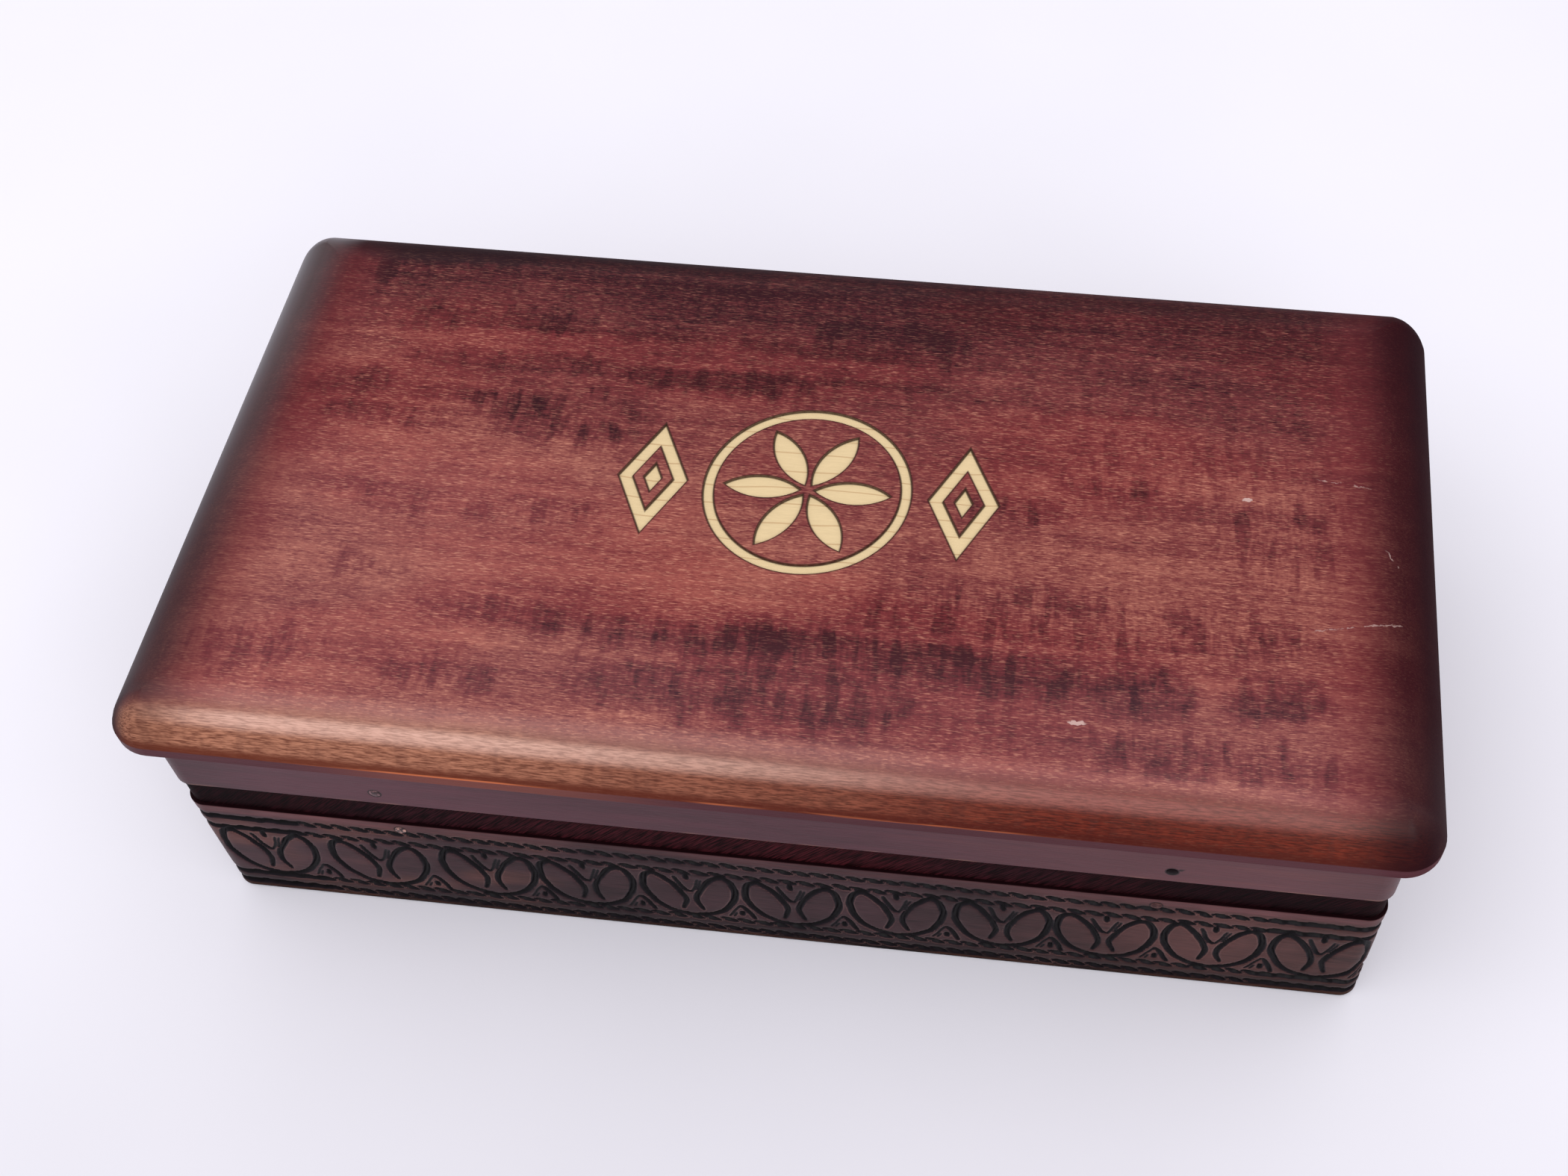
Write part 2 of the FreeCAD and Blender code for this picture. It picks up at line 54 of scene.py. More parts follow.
bl_info = {
    "name": "Keepsake Box Workshop",
    "version": (1, 0, 0),
    "blender": (4, 5, 0),
    "location": "3D View > Sidebar > Keepsake Box",
    "description": "Carves the walls, drives the pins and finishes the wood of a sliding lid keepsake box",
    "category": "Object",
}

MM = 0.001
PICTURE = (2100, 1575)

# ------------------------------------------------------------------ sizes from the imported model

WALL_LOW, WALL_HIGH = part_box("front_wall")
END_WALL_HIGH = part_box("right_end_wall")[1]
BOTTOM_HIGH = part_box("bottom_board")[1]
FRAME_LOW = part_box("front_frame")[0]
LID_LOW, LID_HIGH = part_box("lid_board")

HALF_LENGTH = WALL_HIGH.x
HALF_WIDTH = -WALL_LOW.y
INNER_HALF_WIDTH = -WALL_HIGH.y
WALL_THICKNESS = HALF_WIDTH - INNER_HALF_WIDTH
INNER_HALF_LENGTH = HALF_LENGTH - WALL_THICKNESS
WALL_TOP = WALL_HIGH.z
END_WALL_REACH = END_WALL_HIGH.y
REBATE_HALF_LENGTH = BOTTOM_HIGH.x
REBATE_HALF_WIDTH = BOTTOM_HIGH.y
REBATE_TOP = BOTTOM_HIGH.z
CORNER_RADIUS = 4.8 * MM
PIN_RADIUS = 1.4 * MM

# The finishes work in millimetres.
LID_HALF_LENGTH, LID_HALF_WIDTH, LID_TOP = (size / MM for size in LID_HIGH)
LID_FOOT = LID_LOW.z / MM
PIN_RADIUS_MM = PIN_RADIUS / MM


def linear(red, green, blue):
    """Turn a colour as it looks on a screen, 0 to 255, into the linear values that nodes use."""
    def channel(value):
        share = value / 255
        return share / 12.92 if share <= 0.04045 else ((share + 0.055) / 1.055) ** 2.4
    return channel(red), channel(green), channel(blue)


# ------------------------------------------------------------------ settings a maker would change


def length_setting(name, description, millimetres):
    """Describe a length that the sidebar shows in the scene's units."""
    size = millimetres * MM
    return FloatProperty(name=name, description=description, default=size, unit="LENGTH", precision=5)


def colour_setting(name, description, red, green, blue):
    """Describe a colour, given as it looks on a screen."""
    shade = linear(red, green, blue)
    return FloatVectorProperty(
        name=name, description=description, default=shade, subtype="COLOR", min=0, max=1)


class CarvingSettings(bpy.types.PropertyGroup):
    """Layout and depth of the cut frieze on the walls"""

    motif_pitch: length_setting("Motif Pitch", "Distance from one pair of ovals to the next", 25.54)
    motif_shift: length_setting("Motif Shift", "How far the row of ovals sits off the wall's middle", 3.8)
    stretch: length_setting("Stretch", "How much wider the first two pitches are", 2.4)
    rope_pitch: length_setting("Rope Pitch", "Distance from one rope cut to the next", 4.35)
    rope_length: length_setting("Rope Cut Length", "Length of one slanted rope cut", 4.3)
    rope_width: length_setting("Rope Cut Width", "Width of a rope cut at its middle", 2.15)
    groove_depth: length_setting("Groove Depth", "Depth of the widest cut", 1.0)
    groove_width: length_setting("Groove Width", "Width of the cuts round the ovals", 1.85)
    cell: length_setting("Cell", "Spacing of the mesh that the cuts are pressed into", 0.38)
    long_motifs: IntProperty(name="Long Wall Motifs", description="Pairs of ovals on a long wall", default=11)
    end_motifs: IntProperty(name="End Wall Motifs", description="Pairs of ovals on an end wall", default=5)
    seed: IntProperty(name="Hand", description="Seed of the small slips of the carver's hand", default=7)


class FinishSettings(bpy.types.PropertyGroup):
    """Colours of the stains and of the bare wood"""

    lid_tan: colour_setting("Lid Tan", "Thin stain over pale wood on the lid", 168, 101, 87)
    lid_red: colour_setting("Lid Red", "Middle stain on the lid", 114, 50, 52)
    lid_dark: colour_setting("Lid Dark", "Stain soaked into curly grain on the lid", 48, 12, 22)
    plum: colour_setting("Plum", "Stain on the frame under the lid", 84, 47, 56)
    rail: colour_setting("Rail", "Unpolished dark stain on the rails", 26, 8, 12)
    field: colour_setting("Field", "Stain on the ground between the cuts", 64, 41, 45)
    groove: colour_setting("Groove", "Black wash left in the cuts", 8, 6, 8)
    worn: colour_setting("Worn Edge", "Wood showing where edges have rubbed", 134, 93, 79)
    bare: colour_setting("Bare Wood", "Unstained wood inside the box", 162, 125, 92)
    engraved: colour_setting("Engraved", "Pale wood bared by the ornament", 228, 203, 158)


class StageSettings(bpy.types.PropertyGroup):
    """Camera, lamps and floor"""

    floor: colour_setting("Floor", "Colour of the floor and backdrop", 248, 246, 254)
    daylight: FloatProperty(name="Daylight", description="Strength of the even light", default=0.90)
    key_power: FloatProperty(name="Key Lamp", description="Power of the lamp overhead", default=2.3)
    fill_power: FloatProperty(name="Fill Lamp", description="Power of the lamp in front", default=3.6)
    lens: FloatProperty(name="Lens", description="Focal length on a 36 mm wide sensor", default=43.34)


def own_settings(settings):
    """The settings in a group, without the two properties that every group has."""
    return [item for item in settings.bl_rna.properties if item.identifier not in {"rna_type", "name"}]


# Tints of single washes and marks, some of them painted highlights, sheens and reflections, 0 to 255 as they
# look on a screen.
TINTS = {
    "lid crimson": (128, 38, 44),
    # pale flecks of the grain, partly painted glint
    "lid fleck and painted glint": (210, 144, 120),
    # painted sheen of the pale surroundings
    "lid painted lilac sheen": (150, 112, 122),
    "lid end wash": (104, 34, 40),
    "lid rim": (30, 9, 16),
    "lid nick": (206, 176, 168),
    "shoulder tan, in the fibres": (100, 58, 42),
    "shoulder tan": (178, 122, 96),
    "shoulder red, in the fibres": (50, 13, 5),
    "shoulder red": (108, 41, 25),
    "shoulder bar": (72, 38, 32),
    "shoulder foot, right": (64, 17, 6),
    "shoulder foot, left": (88, 36, 16),
    # painted highlight on the front shoulder
    "shoulder shine, right": (200, 134, 126),
    "shoulder shine, left": (222, 178, 162),
    # stain with a painted reflection of the pale floor
    "edge plum with painted floor reflection": (77, 42, 48),
    "edge rubbed": (120, 68, 58),
    "edge arris": (226, 128, 84),
    "ornament growth line": (164, 116, 72),
    "ornament char": (50, 26, 20),
    "frame red": (90, 52, 52),
    "frame joint": (24, 10, 13),
    "rail red": (42, 10, 14),
    "wall brown": (88, 54, 48),
    "wall top band": (99, 60, 62),
    # partly rubbed wood, partly painted highlight
    "wall lip, rubbed and painted highlight": (112, 82, 78),
    "wall wash": (20, 15, 21),
    # partly wear, partly painted highlight on the rounded foot
    "wall foot line, worn and painted highlight": (80, 48, 36),
    "wall joint": (24, 12, 14),
    "wall pin": (176, 134, 122),
    "frame pin": (112, 78, 80),
    "pin rings": (44, 22, 25),
    "right wall pin": (66, 42, 42),
    "right frame pin": (16, 8, 10),
}


def tint(name):
    """Give a tint as the linear values that nodes use."""
    return linear(*TINTS[name])


# ------------------------------------------------------------------ node writing


def arithmetic(operation, swapped=False):
    """Make the method that adds a Math node for one of Python's operators."""
    def method(wire, *others):
        values = (*others, wire) if swapped else (wire, *others)
        return wire.bench.maths(operation, *values)
    return method


class Wire:
    """A node's output that Python arithmetic can be done on; each operator adds a Math node."""

    def __init__(self, bench, socket):
        self.bench = bench
        self.socket = socket

    __add__ = __radd__ = arithmetic("ADD")
    __mul__ = __rmul__ = arithmetic("MULTIPLY")
    __sub__ = arithmetic("SUBTRACT")
    __rsub__ = arithmetic("SUBTRACT", swapped=True)
    __truediv__ = arithmetic("DIVIDE")
    __rtruediv__ = arithmetic("DIVIDE", swapped=True)
    __pow__ = arithmetic("POWER")
    __abs__ = arithmetic("ABSOLUTE")

    def __neg__(self):
        return self * -1


class Bench:
    """Adds nodes to one shader or geometry tree."""

    def __init__(self, tree):
        self.tree = tree

    def node(self, kind, settings=None, inputs=None, output=0):
        """Add a node: its settings first, then the values or links of its sockets."""
        node = self.tree.nodes.new(kind)
        for name, value in (settings or {}).items():
            if name == "stops":
                self.set_stops(node.color_ramp, value)
            else:
                setattr(node, name, value)
        for name, value in (inputs or {}).items():
            socket = node.inputs[name]
            if isinstance(value, Wire):
                self.tree.links.new(value.socket, socket)
            elif isinstance(value, list):
                for wire in value:
                    self.tree.links.new(wire.socket, socket)
            elif socket.type == "RGBA":
                socket.default_value = (*value, 1.0)
            else:
                socket.default_value = value
        return Wire(self, node.outputs[output]) if node.outputs else node

    @staticmethod
    def set_stops(ramp, stops):
        """Give a colour ramp its stops, as (place, colour)."""
        while len(ramp.elements) < len(stops):
            ramp.elements.new(1.0)
        for element, (place, colour) in zip(ramp.elements, stops):
            element.position = place
            element.color = (*colour, 1.0)

    def maths(self, operation, *values):
        """Add a Math node."""
        inputs = dict(enumerate(values))
        return self.node("ShaderNodeMath", {"operation": operation}, inputs)

    def vector(self, operation, *values, output=0):
        """Add a Vector Math node."""
        return self.node("ShaderNodeVectorMath", {"operation": operation}, dict(enumerate(values)), output)

    def split(self, vector):
        """Take a vector apart into its three numbers."""
        node = self.tree.nodes.new("ShaderNodeSeparateXYZ")
        self.tree.links.new(vector.socket, node.inputs[0])
        return [Wire(self, output) for output in node.outputs]

    def combine(self, x, y, z):
        """Make a vector from three numbers."""
        return self.node("ShaderNodeCombineXYZ", None, {0: x, 1: y, 2: z})

    def ease(self, value, low, high):
        """Rise smoothly from 0 at low to 1 at high; low may be the larger."""
        if low > high:
            return 1 - self.ease(value, high, low)
        inputs = {"Value": value, "From Min": low, "From Max": high}
        return self.node("ShaderNodeMapRange", {"interpolation_type": "SMOOTHSTEP"}, inputs)

    def noise(self, place, scale, detail=2.0, roughness=0.5, distortion=0.0):
        """Sample noise, from about 0 to 1, at a place in its own units."""
        inputs = {"Vector": place, "Scale": scale, "Detail": detail, "Roughness": roughness}
        inputs["Distortion"] = distortion
        return self.node("ShaderNodeTexNoise", {"noise_dimensions": "3D"}, inputs)

    def grained(self, place, along, across, offset=0.0, detail=1.0, roughness=0.5):
        """Noise stretched along X: features are `along` by `across` millimetres."""
        stretched = self.vector("MULTIPLY", place, (1 / along, 1 / across, 1 / across))
        moved = self.vector("ADD", stretched, (offset, offset, offset))
        return self.noise(moved, 1.0, detail, roughness)

    def blend(self, share, first, second):
        """Mix two colours."""
        return self.node("ShaderNodeMix", {"data_type": "RGBA"}, {0: share, 6: first, 7: second}, 2)

    def shade(self, colour, amount):
        """Multiply a colour by a number."""
        return self.vector("MULTIPLY", colour, self.combine(amount, amount, amount))

    def smallest(self, first, second):
        """Give the smaller of two numbers."""
        return self.maths("MINIMUM", first, second)

    def largest(self, first, second):
        """Give the larger of two numbers."""
        return self.maths("MAXIMUM", first, second)

    def gate(self, value):
        """Keep a number between 0 and 1."""
        return self.node("ShaderNodeClamp", None, {0: value})


# ------------------------------------------------------------------ wood finishes


def new_finish(name):
    """Start a material; return it, its bench, the place on the piece in millimetres and its three numbers."""
    material = bpy.data.materials.new(name)
    material.use_nodes = True
    bench = Bench(material.node_tree)
    metres = bench.node("ShaderNodeTexCoord", output="Object")
    place = bench.vector("MULTIPLY", metres, (1 / MM, 1 / MM, 1 / MM))
    return material, bench, place, bench.split(place)


def settle(bench, colour, roughness, gloss, height=None, depth=0.0, coat=0.0):
    """Join a finish's colour, roughness, relief and coat to its surface node, and set its gloss."""
    surface = bench.tree.nodes["Principled BSDF"]
    surface.inputs["Specular IOR Level"].default_value = gloss
    surface.inputs["Coat Roughness"].default_value = 0.3
    relief = bench.node("ShaderNodeBump", None, {"Height": height, "Distance": depth}) if height else None
    joined = {"Base Color": colour, "Roughness": roughness, "Coat Weight": coat, "Normal": relief}
    for name, value in joined.items():
        if isinstance(value, Wire):
            bench.tree.links.new(value.socket, surface.inputs[name])
        elif value is not None:
            surface.inputs[name].default_value = value


def facing_in(bench, x, y):
    """Is 1 on faces that look into the box and 0 on its outside."""
    edge = 0.3
    half_x, half_y = INNER_HALF_LENGTH / MM, INNER_HALF_WIDTH / MM
    return bench.ease(abs(x), half_x + edge, half_x) * bench.ease(abs(y), half_y + edge, half_y)


def bare_inside(bench, colour, finish, place, x, y, share=1.0):
    """Leave the wood without its stain where it looks into the box."""
    lines = bench.grained(place, 70, 1.6, offset=3.0, detail=3.0, roughness=0.6)
    pores = bench.grained(place, 3.0, 0.3, offset=9.0)
    depth = 0.74 + 0.34 * lines - 0.10 * bench.ease(pores, 0.60, 0.75)
    return bench.blend(facing_in(bench, x, y) * share, colour, bench.shade(finish.bare, depth))


def pin_ring(bench, x, z, places):
    """Is 1 in the thin dark joint round each pin; places are (x, z) in millimetres."""
    ring = None
    for pin_x, pin_z in places:
        across, up = x - pin_x, z - pin_z
        gap = abs((across * across + up * up) ** 0.5 - PIN_RADIUS_MM - 0.1)
        here = bench.ease(gap, 0.32, 0.08)
        ring = here if ring is None else bench.largest(ring, here)
    return ring


def pin_places(node):
    """Where a pair of pins shows: the middle of each as (x, z) in millimetres."""
    low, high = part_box(node)
    across = high.x / MM - PIN_RADIUS_MM
    up = (low.z + high.z) / 2 / MM
    return (-across, up), (across, up)


# Stained figure of the lid: centre x, centre y, half length, half breadth in millimetres,
# then how much darker the streak is, and how strongly the curl shows in it.
LID_STREAKS = (
    (28, -47, 46, 6.0, 0.20, 0.7),
    (50, -48, 28, 5.5, 0.15, 0.3),
    (-34, -43, 50, 4.5, 0.21, 0.7),
    (112, -48, 13, 5.5, 0.34, 0.6),
    (83, -50, 11, 7.0, 0.22, 0.8),
    (-6, -59, 40, 7.5, 0.18, 0.9),
    (102, -65, 28, 6.5, 0.14, 1.0),
    (28, -52, 62, 16.0, 0.14, 0.5),
    (84, 38, 66, 9.0, 0.16, 0.1),
    (6, 40, 30, 8.0, 0.14, 0.1),
    (48, -20, 34, 8.0, 0.10, 0.1),
    (-64, 18, 24, 9.0, 0.12, 0.4),
    (-10, -20, 34, 7.0, -0.14, 0.0),
    (-122, -62, 26, 9.0, -0.12, 0.4),
    (68, -32, 56, 7.0, 0.08, 1.0),
    (-28, -51, 66, 1.6, -0.16, 0.0),
    (-118, -58, 16, 7.0, 0.07, 1.0),
    (-74, -62, 14, 6.0, 0.06, 1.0),
    (-98, -33, 10, 3.0, 0.14, 0.6),
    (-97, -13, 11, 3.5, 0.16, 0.8),
    (-64, -13, 18, 3.5, 0.15, 0.8),
    (-115, 12, 10, 4.5, 0.20, 0.9),
    (-96, 12, 10, 4.0, 0.16, 0.8),
    (-73, 14, 9, 8.0, 0.24, 0.7),
    (-56, 12, 9, 4.5, 0.14, 0.9),
    (-119, 23, 11, 4.0, 0.18, 0.4),
    (-84, 21, 20, 3.0, 0.12, 0.5),
    (-28, 32.5, 24, 3.8, 0.28, 0.3),
    (-80, 33, 30, 3.6, 0.17, 0.5),
    (-74, 47, 13, 4.5, 0.24, 0.5),
    (-98, 47, 11, 4.0, 0.13, 0.6),
    (14, 50, 20, 5.5, 0.17, 0.3),
    (-106, 69, 24, 4.0, 0.26, 0.1),
    (-120.5, 62, 3, 3.2, 0.26, 0.0),
    (72, 7, 13, 3.5, 0.16, 0.9),
    (50, -2, 13, 4.0, 0.15, 0.9),
    (112, -4, 16, 12.0, 0.05, 0.8),
    (96, 14, 36, 14.0, 0.00, 0.5),
    (-74, -8, 62, 13.0, -0.16, 0.0),
    (-60, -28, 76, 7.0, -0.14, 0.0),
    (84, -16, 46, 8.0, -0.12, 0.1),
    (-30, 40, 80, 3.0, -0.12, 0.0),
    (-104, 34, 26, 9.0, -0.06, 0.0),
    (-104, -70, 46, 7.0, -0.10, 0.0),
    (70, 40, 60, 6.0, -0.10, 0.0),
    (82, 51, 46, 7.0, -0.10, 0.0),
    (-4, 31, 50, 4.5, 0.15, 0.1),
    (-54, 40, 26, 5.0, 0.16, 0.1),
    (-46, 47, 12, 6.0, 0.15, 0.1),
    (-51, 25, 8, 5.0, 0.16, 0.2),
    (-84, 7, 36, 9.0, -0.14, 0.0),
    (-106, -1, 16, 6.0, -0.08, 0.0),
    (94, 12, 30, 8.0, -0.10, 0.0),
    (-110, -44, 26, 10.0, -0.11, 0.0),
    (-84, -32, 18, 5.0, -0.09, 0.0),
    (-44, -48, 22, 4.5, 0.13, 0.3),
    (86, -48, 10, 5.0, 0.14, 0.5),
)


def lid_streaks(bench, x, y, wander):
    """Add up the placed streaks: how dark the stain is, and how strongly the curl shows."""
    darkness, curliness = 0.0, 0.0
    for centre_x, centre_y, half_length, half_breadth, dark, curly in LID_STREAKS:
        across = (y - centre_y + wander) / half_breadth
        along = (x - centre_x) / half_length
        patch = bench.ease(across * across + along ** 4.0, 1.6, 0.2)
        darkness = patch * dark + darkness
        curliness = patch * curly + curliness
    return darkness, bench.gate(curliness)


RING_OUTER, RING_INNER = 25.0, 22.4
PETAL_ROOT, PETAL_TIP, PETAL_FULLNESS = 1.6, 20.2, 0.6
LOZENGE_OFFSET, LOZENGE_HALF_WIDTH, LOZENGE_HALF_HEIGHT = 37.5, 8.5, 17.0
LOZENGE_HOLE, LOZENGE_HEART = 0.58, 0.26
CHAR_WIDTH = 0.45
GROWTH_SPACING = 5.3
LID_EDGE_HEIGHT = 3.2


def ornament_distance(bench, x, y):
    """Distance in millimetres to the nearest edge of the ornament, negative inside it."""
    radius = (x * x + y * y) ** 0.5
    ring = abs(radius - (RING_OUTER + RING_INNER) / 2) - (RING_OUTER - RING_INNER) / 2
    sector = math.radians(60)
    turned = bench.maths("WRAP", bench.maths("ARCTAN2", y, x), sector / 2, -sector / 2)
    along = radius * bench.maths("COSINE", turned)
    across = radius * bench.maths("SINE", turned)
    chord = PETAL_TIP - PETAL_ROOT
    bow = PETAL_FULLNESS * chord
    middle = along - (PETAL_TIP + PETAL_ROOT) / 2
    outward = abs(across) + bow
    petals = (middle * middle + outward * outward) ** 0.5 - math.hypot(chord / 2, bow)
    aside = abs(abs(x) - LOZENGE_OFFSET)
    reach = aside / LOZENGE_HALF_WIDTH + abs(y) / LOZENGE_HALF_HEIGHT
    slope = math.hypot(1 / LOZENGE_HALF_WIDTH, 1 / LOZENGE_HALF_HEIGHT)
    frame_part = bench.largest(reach - 1, LOZENGE_HOLE - reach)
    lozenges = bench.smallest(frame_part, reach - LOZENGE_HEART) / slope
    return bench.smallest(bench.smallest(ring, petals), lozenges)


def lid_wood(bench, place, x, y, z):
    """The lid's shared noises and distances by name: push and bars curl across the grain."""
    lean = x + y * 0.05
    columns = bench.noise(bench.combine(lean / 5.2, y / 40, z / 40), 1.0, 2.0, 0.6)
    push = (columns - 0.5) * 9
    pushed = bench.combine(x, y + push, z)
    fibre = bench.grained(place, 3.0, 0.32, offset=11.0, detail=2.0, roughness=0.65)
    ragged = lean + (fibre - 0.5) * 0.9
    return SimpleNamespace(
        place=place, x=x, y=y, z=z, lean=lean, push=push, fibre=fibre,
        from_end=LID_HALF_LENGTH - abs(x),
        from_front=y + LID_HALF_WIDTH,
        from_back=LID_HALF_WIDTH - y,
        cloud=bench.grained(pushed, 44, 11, offset=4.0, detail=3.0, roughness=0.55),
        streak=bench.grained(place, 60, 2.6, offset=7.0, detail=3.0, roughness=0.6),
        bars=bench.noise(bench.combine(ragged / 3.0, y / 12 + 40, z / 12), 1.0, 1.0, 0.4),
    )


def stain_depth(bench, wood):
    """How deep the lid's stain has soaked in, from 0 to 1; it deepens towards the back."""
    x, y, z = wood.x, wood.y, wood.z
    drift = (bench.grained(wood.place, 45, 14, offset=1.0) - 0.5) * 8
    pores = bench.grained(wood.place, 3.4, 0.30, offset=23.0)
    grain = bench.noise(bench.combine(x / 0.9, y / 0.5, z / 0.5), 1.0, 2.0, 0.6)
    hatch = bench.noise(bench.combine(wood.lean / 0.9, y / 5, z / 5), 1.0, 1.0, 0.5)
    darkness, curliness = lid_streaks(bench, x, y, drift + wood.push)
    bar = bench.ease(wood.bars, 0.48, 0.63)
    backward = 0.16 * bench.ease(y, -50, 45) + 0.42 * bench.ease(y + bench.ease(x, -100, 0) * 8, 38, 70)
    clouded = (wood.cloud - 0.5) * (0.52 - 0.26 * bench.ease(y, 20, 55))
    depth = 0.31 + backward + clouded + (wood.streak - 0.5) * 0.55
    depth = depth + darkness * (0.86 + 0.10 * bar) + bar * (0.05 + 0.17 * curliness)
    depth = depth + (wood.fibre - 0.5) * 0.85 + (hatch - 0.5) * (0.10 + 0.30 * curliness)
    depth = depth + bench.ease(pores, 0.56, 0.70) * 0.20 + (grain - 0.5) * 0.45
    return bench.gate(depth)


def stained_top(bench, finish, wood):
    """Colour of the lid's stain, with crimson clouds, bright flecks partly painted as glints, and a painted
    lilac sheen at the front and left.
    """
    depth = stain_depth(bench, wood)
    middle = [(red + dark) / 2 for red, dark in zip(finish.lid_red, finish.lid_dark)]
    stops = [(0.0, finish.lid_tan), (0.48, finish.lid_red), (0.75, middle), (1.0, finish.lid_dark)]
    colour = bench.node("ShaderNodeValToRGB", {"stops": stops}, {0: depth})
    crimson = bench.ease(bench.grained(wood.place, 70, 28, offset=51.0), 0.45, 0.62) * 0.38
    colour = bench.blend(crimson, colour, bench.shade(tint("lid crimson"), 1.25 - depth))
    # pale flecks of the grain, lightened further as painted glints
    fleck = bench.grained(wood.place, 1.9, 0.26, offset=17.0)
    fleck_and_painted_glint = bench.ease(fleck, 0.55, 0.70) * 0.62 * (1 - 0.8 * depth)
    colour = bench.blend(fleck_and_painted_glint, colour, tint("lid fleck and painted glint"))
    # painted sheen: a faint lilac haze at the front and the left stands in for the reflection of the pale
    # surroundings
    front_painted_sheen = bench.ease(wood.y, -30, -58)
    left_painted_sheen = bench.ease(wood.x, -10, -90) * bench.ease(wood.y, 20, -10)
    return bench.blend(bench.largest(front_painted_sheen, left_painted_sheen) * 0.08, colour, tint("lid painted lilac sheen"))


def front_shoulder(bench, wood, colour, down_front):
    """Colour of the front shoulder: thin stain at the left, deep red-brown at the right, and a painted
    highlight band along it.
    """
    x, from_front = wood.x, wood.from_front
    leftward = bench.ease(x + (wood.cloud - 0.5) * 50, 75, -115)
    grit = bench.ease(wood.fibre, 0.30, 0.70)
    tan = bench.blend(grit, tint("shoulder tan, in the fibres"), tint("shoulder tan"))
    red = bench.blend(grit, tint("shoulder red, in the fibres"), tint("shoulder red"))
    front = bench.blend(leftward, red, tan)
    front = bench.blend(bench.ease(wood.bars, 0.56, 0.66) * 0.22, front, tint("shoulder bar"))
    foot = bench.blend(leftward, tint("shoulder foot, right"), tint("shoulder foot, left"))
    front = bench.blend(bench.ease(wood.z, 80.4, 78.5) * 0.9, front, foot)
    colour = bench.blend(down_front * bench.ease(wood.from_end, 1, 5) * 0.9, colour, front)

    # painted highlight: a pale band along the upper shoulder, brightest at the left, stands in for the lamp's
    # reflection
    painted_highlight_strength = 0.27 + 0.42 * leftward - 0.07 * bench.ease(x, 75, 115)
    painted_shine = bench.ease(abs(from_front - 5.5), 2.3, 0.4) * painted_highlight_strength
    painted_shine = painted_shine + bench.ease(abs(from_front - 9), 4.5, 1) * 0.10
    painted_shine = painted_shine * (0.65 + 0.5 * grit) * bench.ease(wood.from_end, 4, 34)
    pale = bench.blend(bench.ease(x, 80, -10), tint("shoulder shine, right"), tint("shoulder shine, left"))
    return bench.blend(painted_shine, colour, pale)


def lid_figure(bench, finish, wood):
    """Colour of the lid's stained wood, and how near both ends it lies, where the stain gathers."""
    colour = stained_top(bench, finish, wood)
    down_front = bench.ease(wood.from_front + (wood.cloud - 0.5) * 3, 10.5, 5.5)
    colour = front_shoulder(bench, wood, colour, down_front)
    soft = (wood.cloud - 0.5) * 9 + (wood.fibre - 0.5) * 2
    wash = bench.ease(wood.from_end - soft, 34, 18) * (1 - down_front)
    colour = bench.blend(wash * 0.5, colour, tint("lid end wash"))
    spared = bench.ease(wood.x, 60, 0) * bench.ease(wood.from_end, 1.5, 7)
    ends = bench.ease(wood.from_end - soft * 0.4, 24, 8) * (1 - 0.8 * down_front * spared)
    back = bench.ease(wood.from_back - soft * 0.5, 18, 7) * (0.5 + 0.35 * bench.ease(wood.x, 60, -60))
    rim = bench.largest(ends * (0.82 + 0.12 * bench.ease(wood.from_end, 9, 3)), back)
    return bench.blend(rim, colour, tint("lid rim")), ends


# Marks of use on the lid, in millimetres.  A nick: its middle, half length and half breadth.
# A scratch: where it starts and where it ends.
LID_NICKS = ((104.2, 8.1, 1.2, 0.6), (68.3, -58.5, 2.2, 0.6))
LID_SCRATCHES = ((119, -28.5, 144, -23), (136, -3, 145, -15), (120, 16, 135, 14.5))


def lid_marks(bench, place, x, y):
    """Is 1 in the pale nicks and hair scratches of the lid."""
    ragged = (bench.noise(place, 0.9, 2.0) - 0.5) * 1.6
    marks = 0.0
    for middle_x, middle_y, half_length, half_breadth in LID_NICKS:
        along = (x - middle_x + ragged) / half_length
        across = (y - middle_y + ragged) / half_breadth
        marks = bench.ease(along * along + across * across, 1.2, 0.5) + marks
    broken = bench.ease(bench.noise(place, 0.5, 1.0), 0.42, 0.55) * 0.55
    for start_x, start_y, end_x, end_y in LID_SCRATCHES:
        run = math.hypot(end_x - start_x, end_y - start_y)
        turn_x, turn_y = (end_x - start_x) / run, (end_y - start_y) / run
        along = (x - start_x) * turn_x + (y - start_y) * turn_y
        across = (y - start_y) * turn_x - (x - start_x) * turn_y + ragged
        on_run = bench.ease(abs(along - run / 2), run / 2, run / 2 - 2)
        marks = bench.ease(abs(across), 0.24, 0.06) * on_run * broken + marks
    return bench.gate(marks)


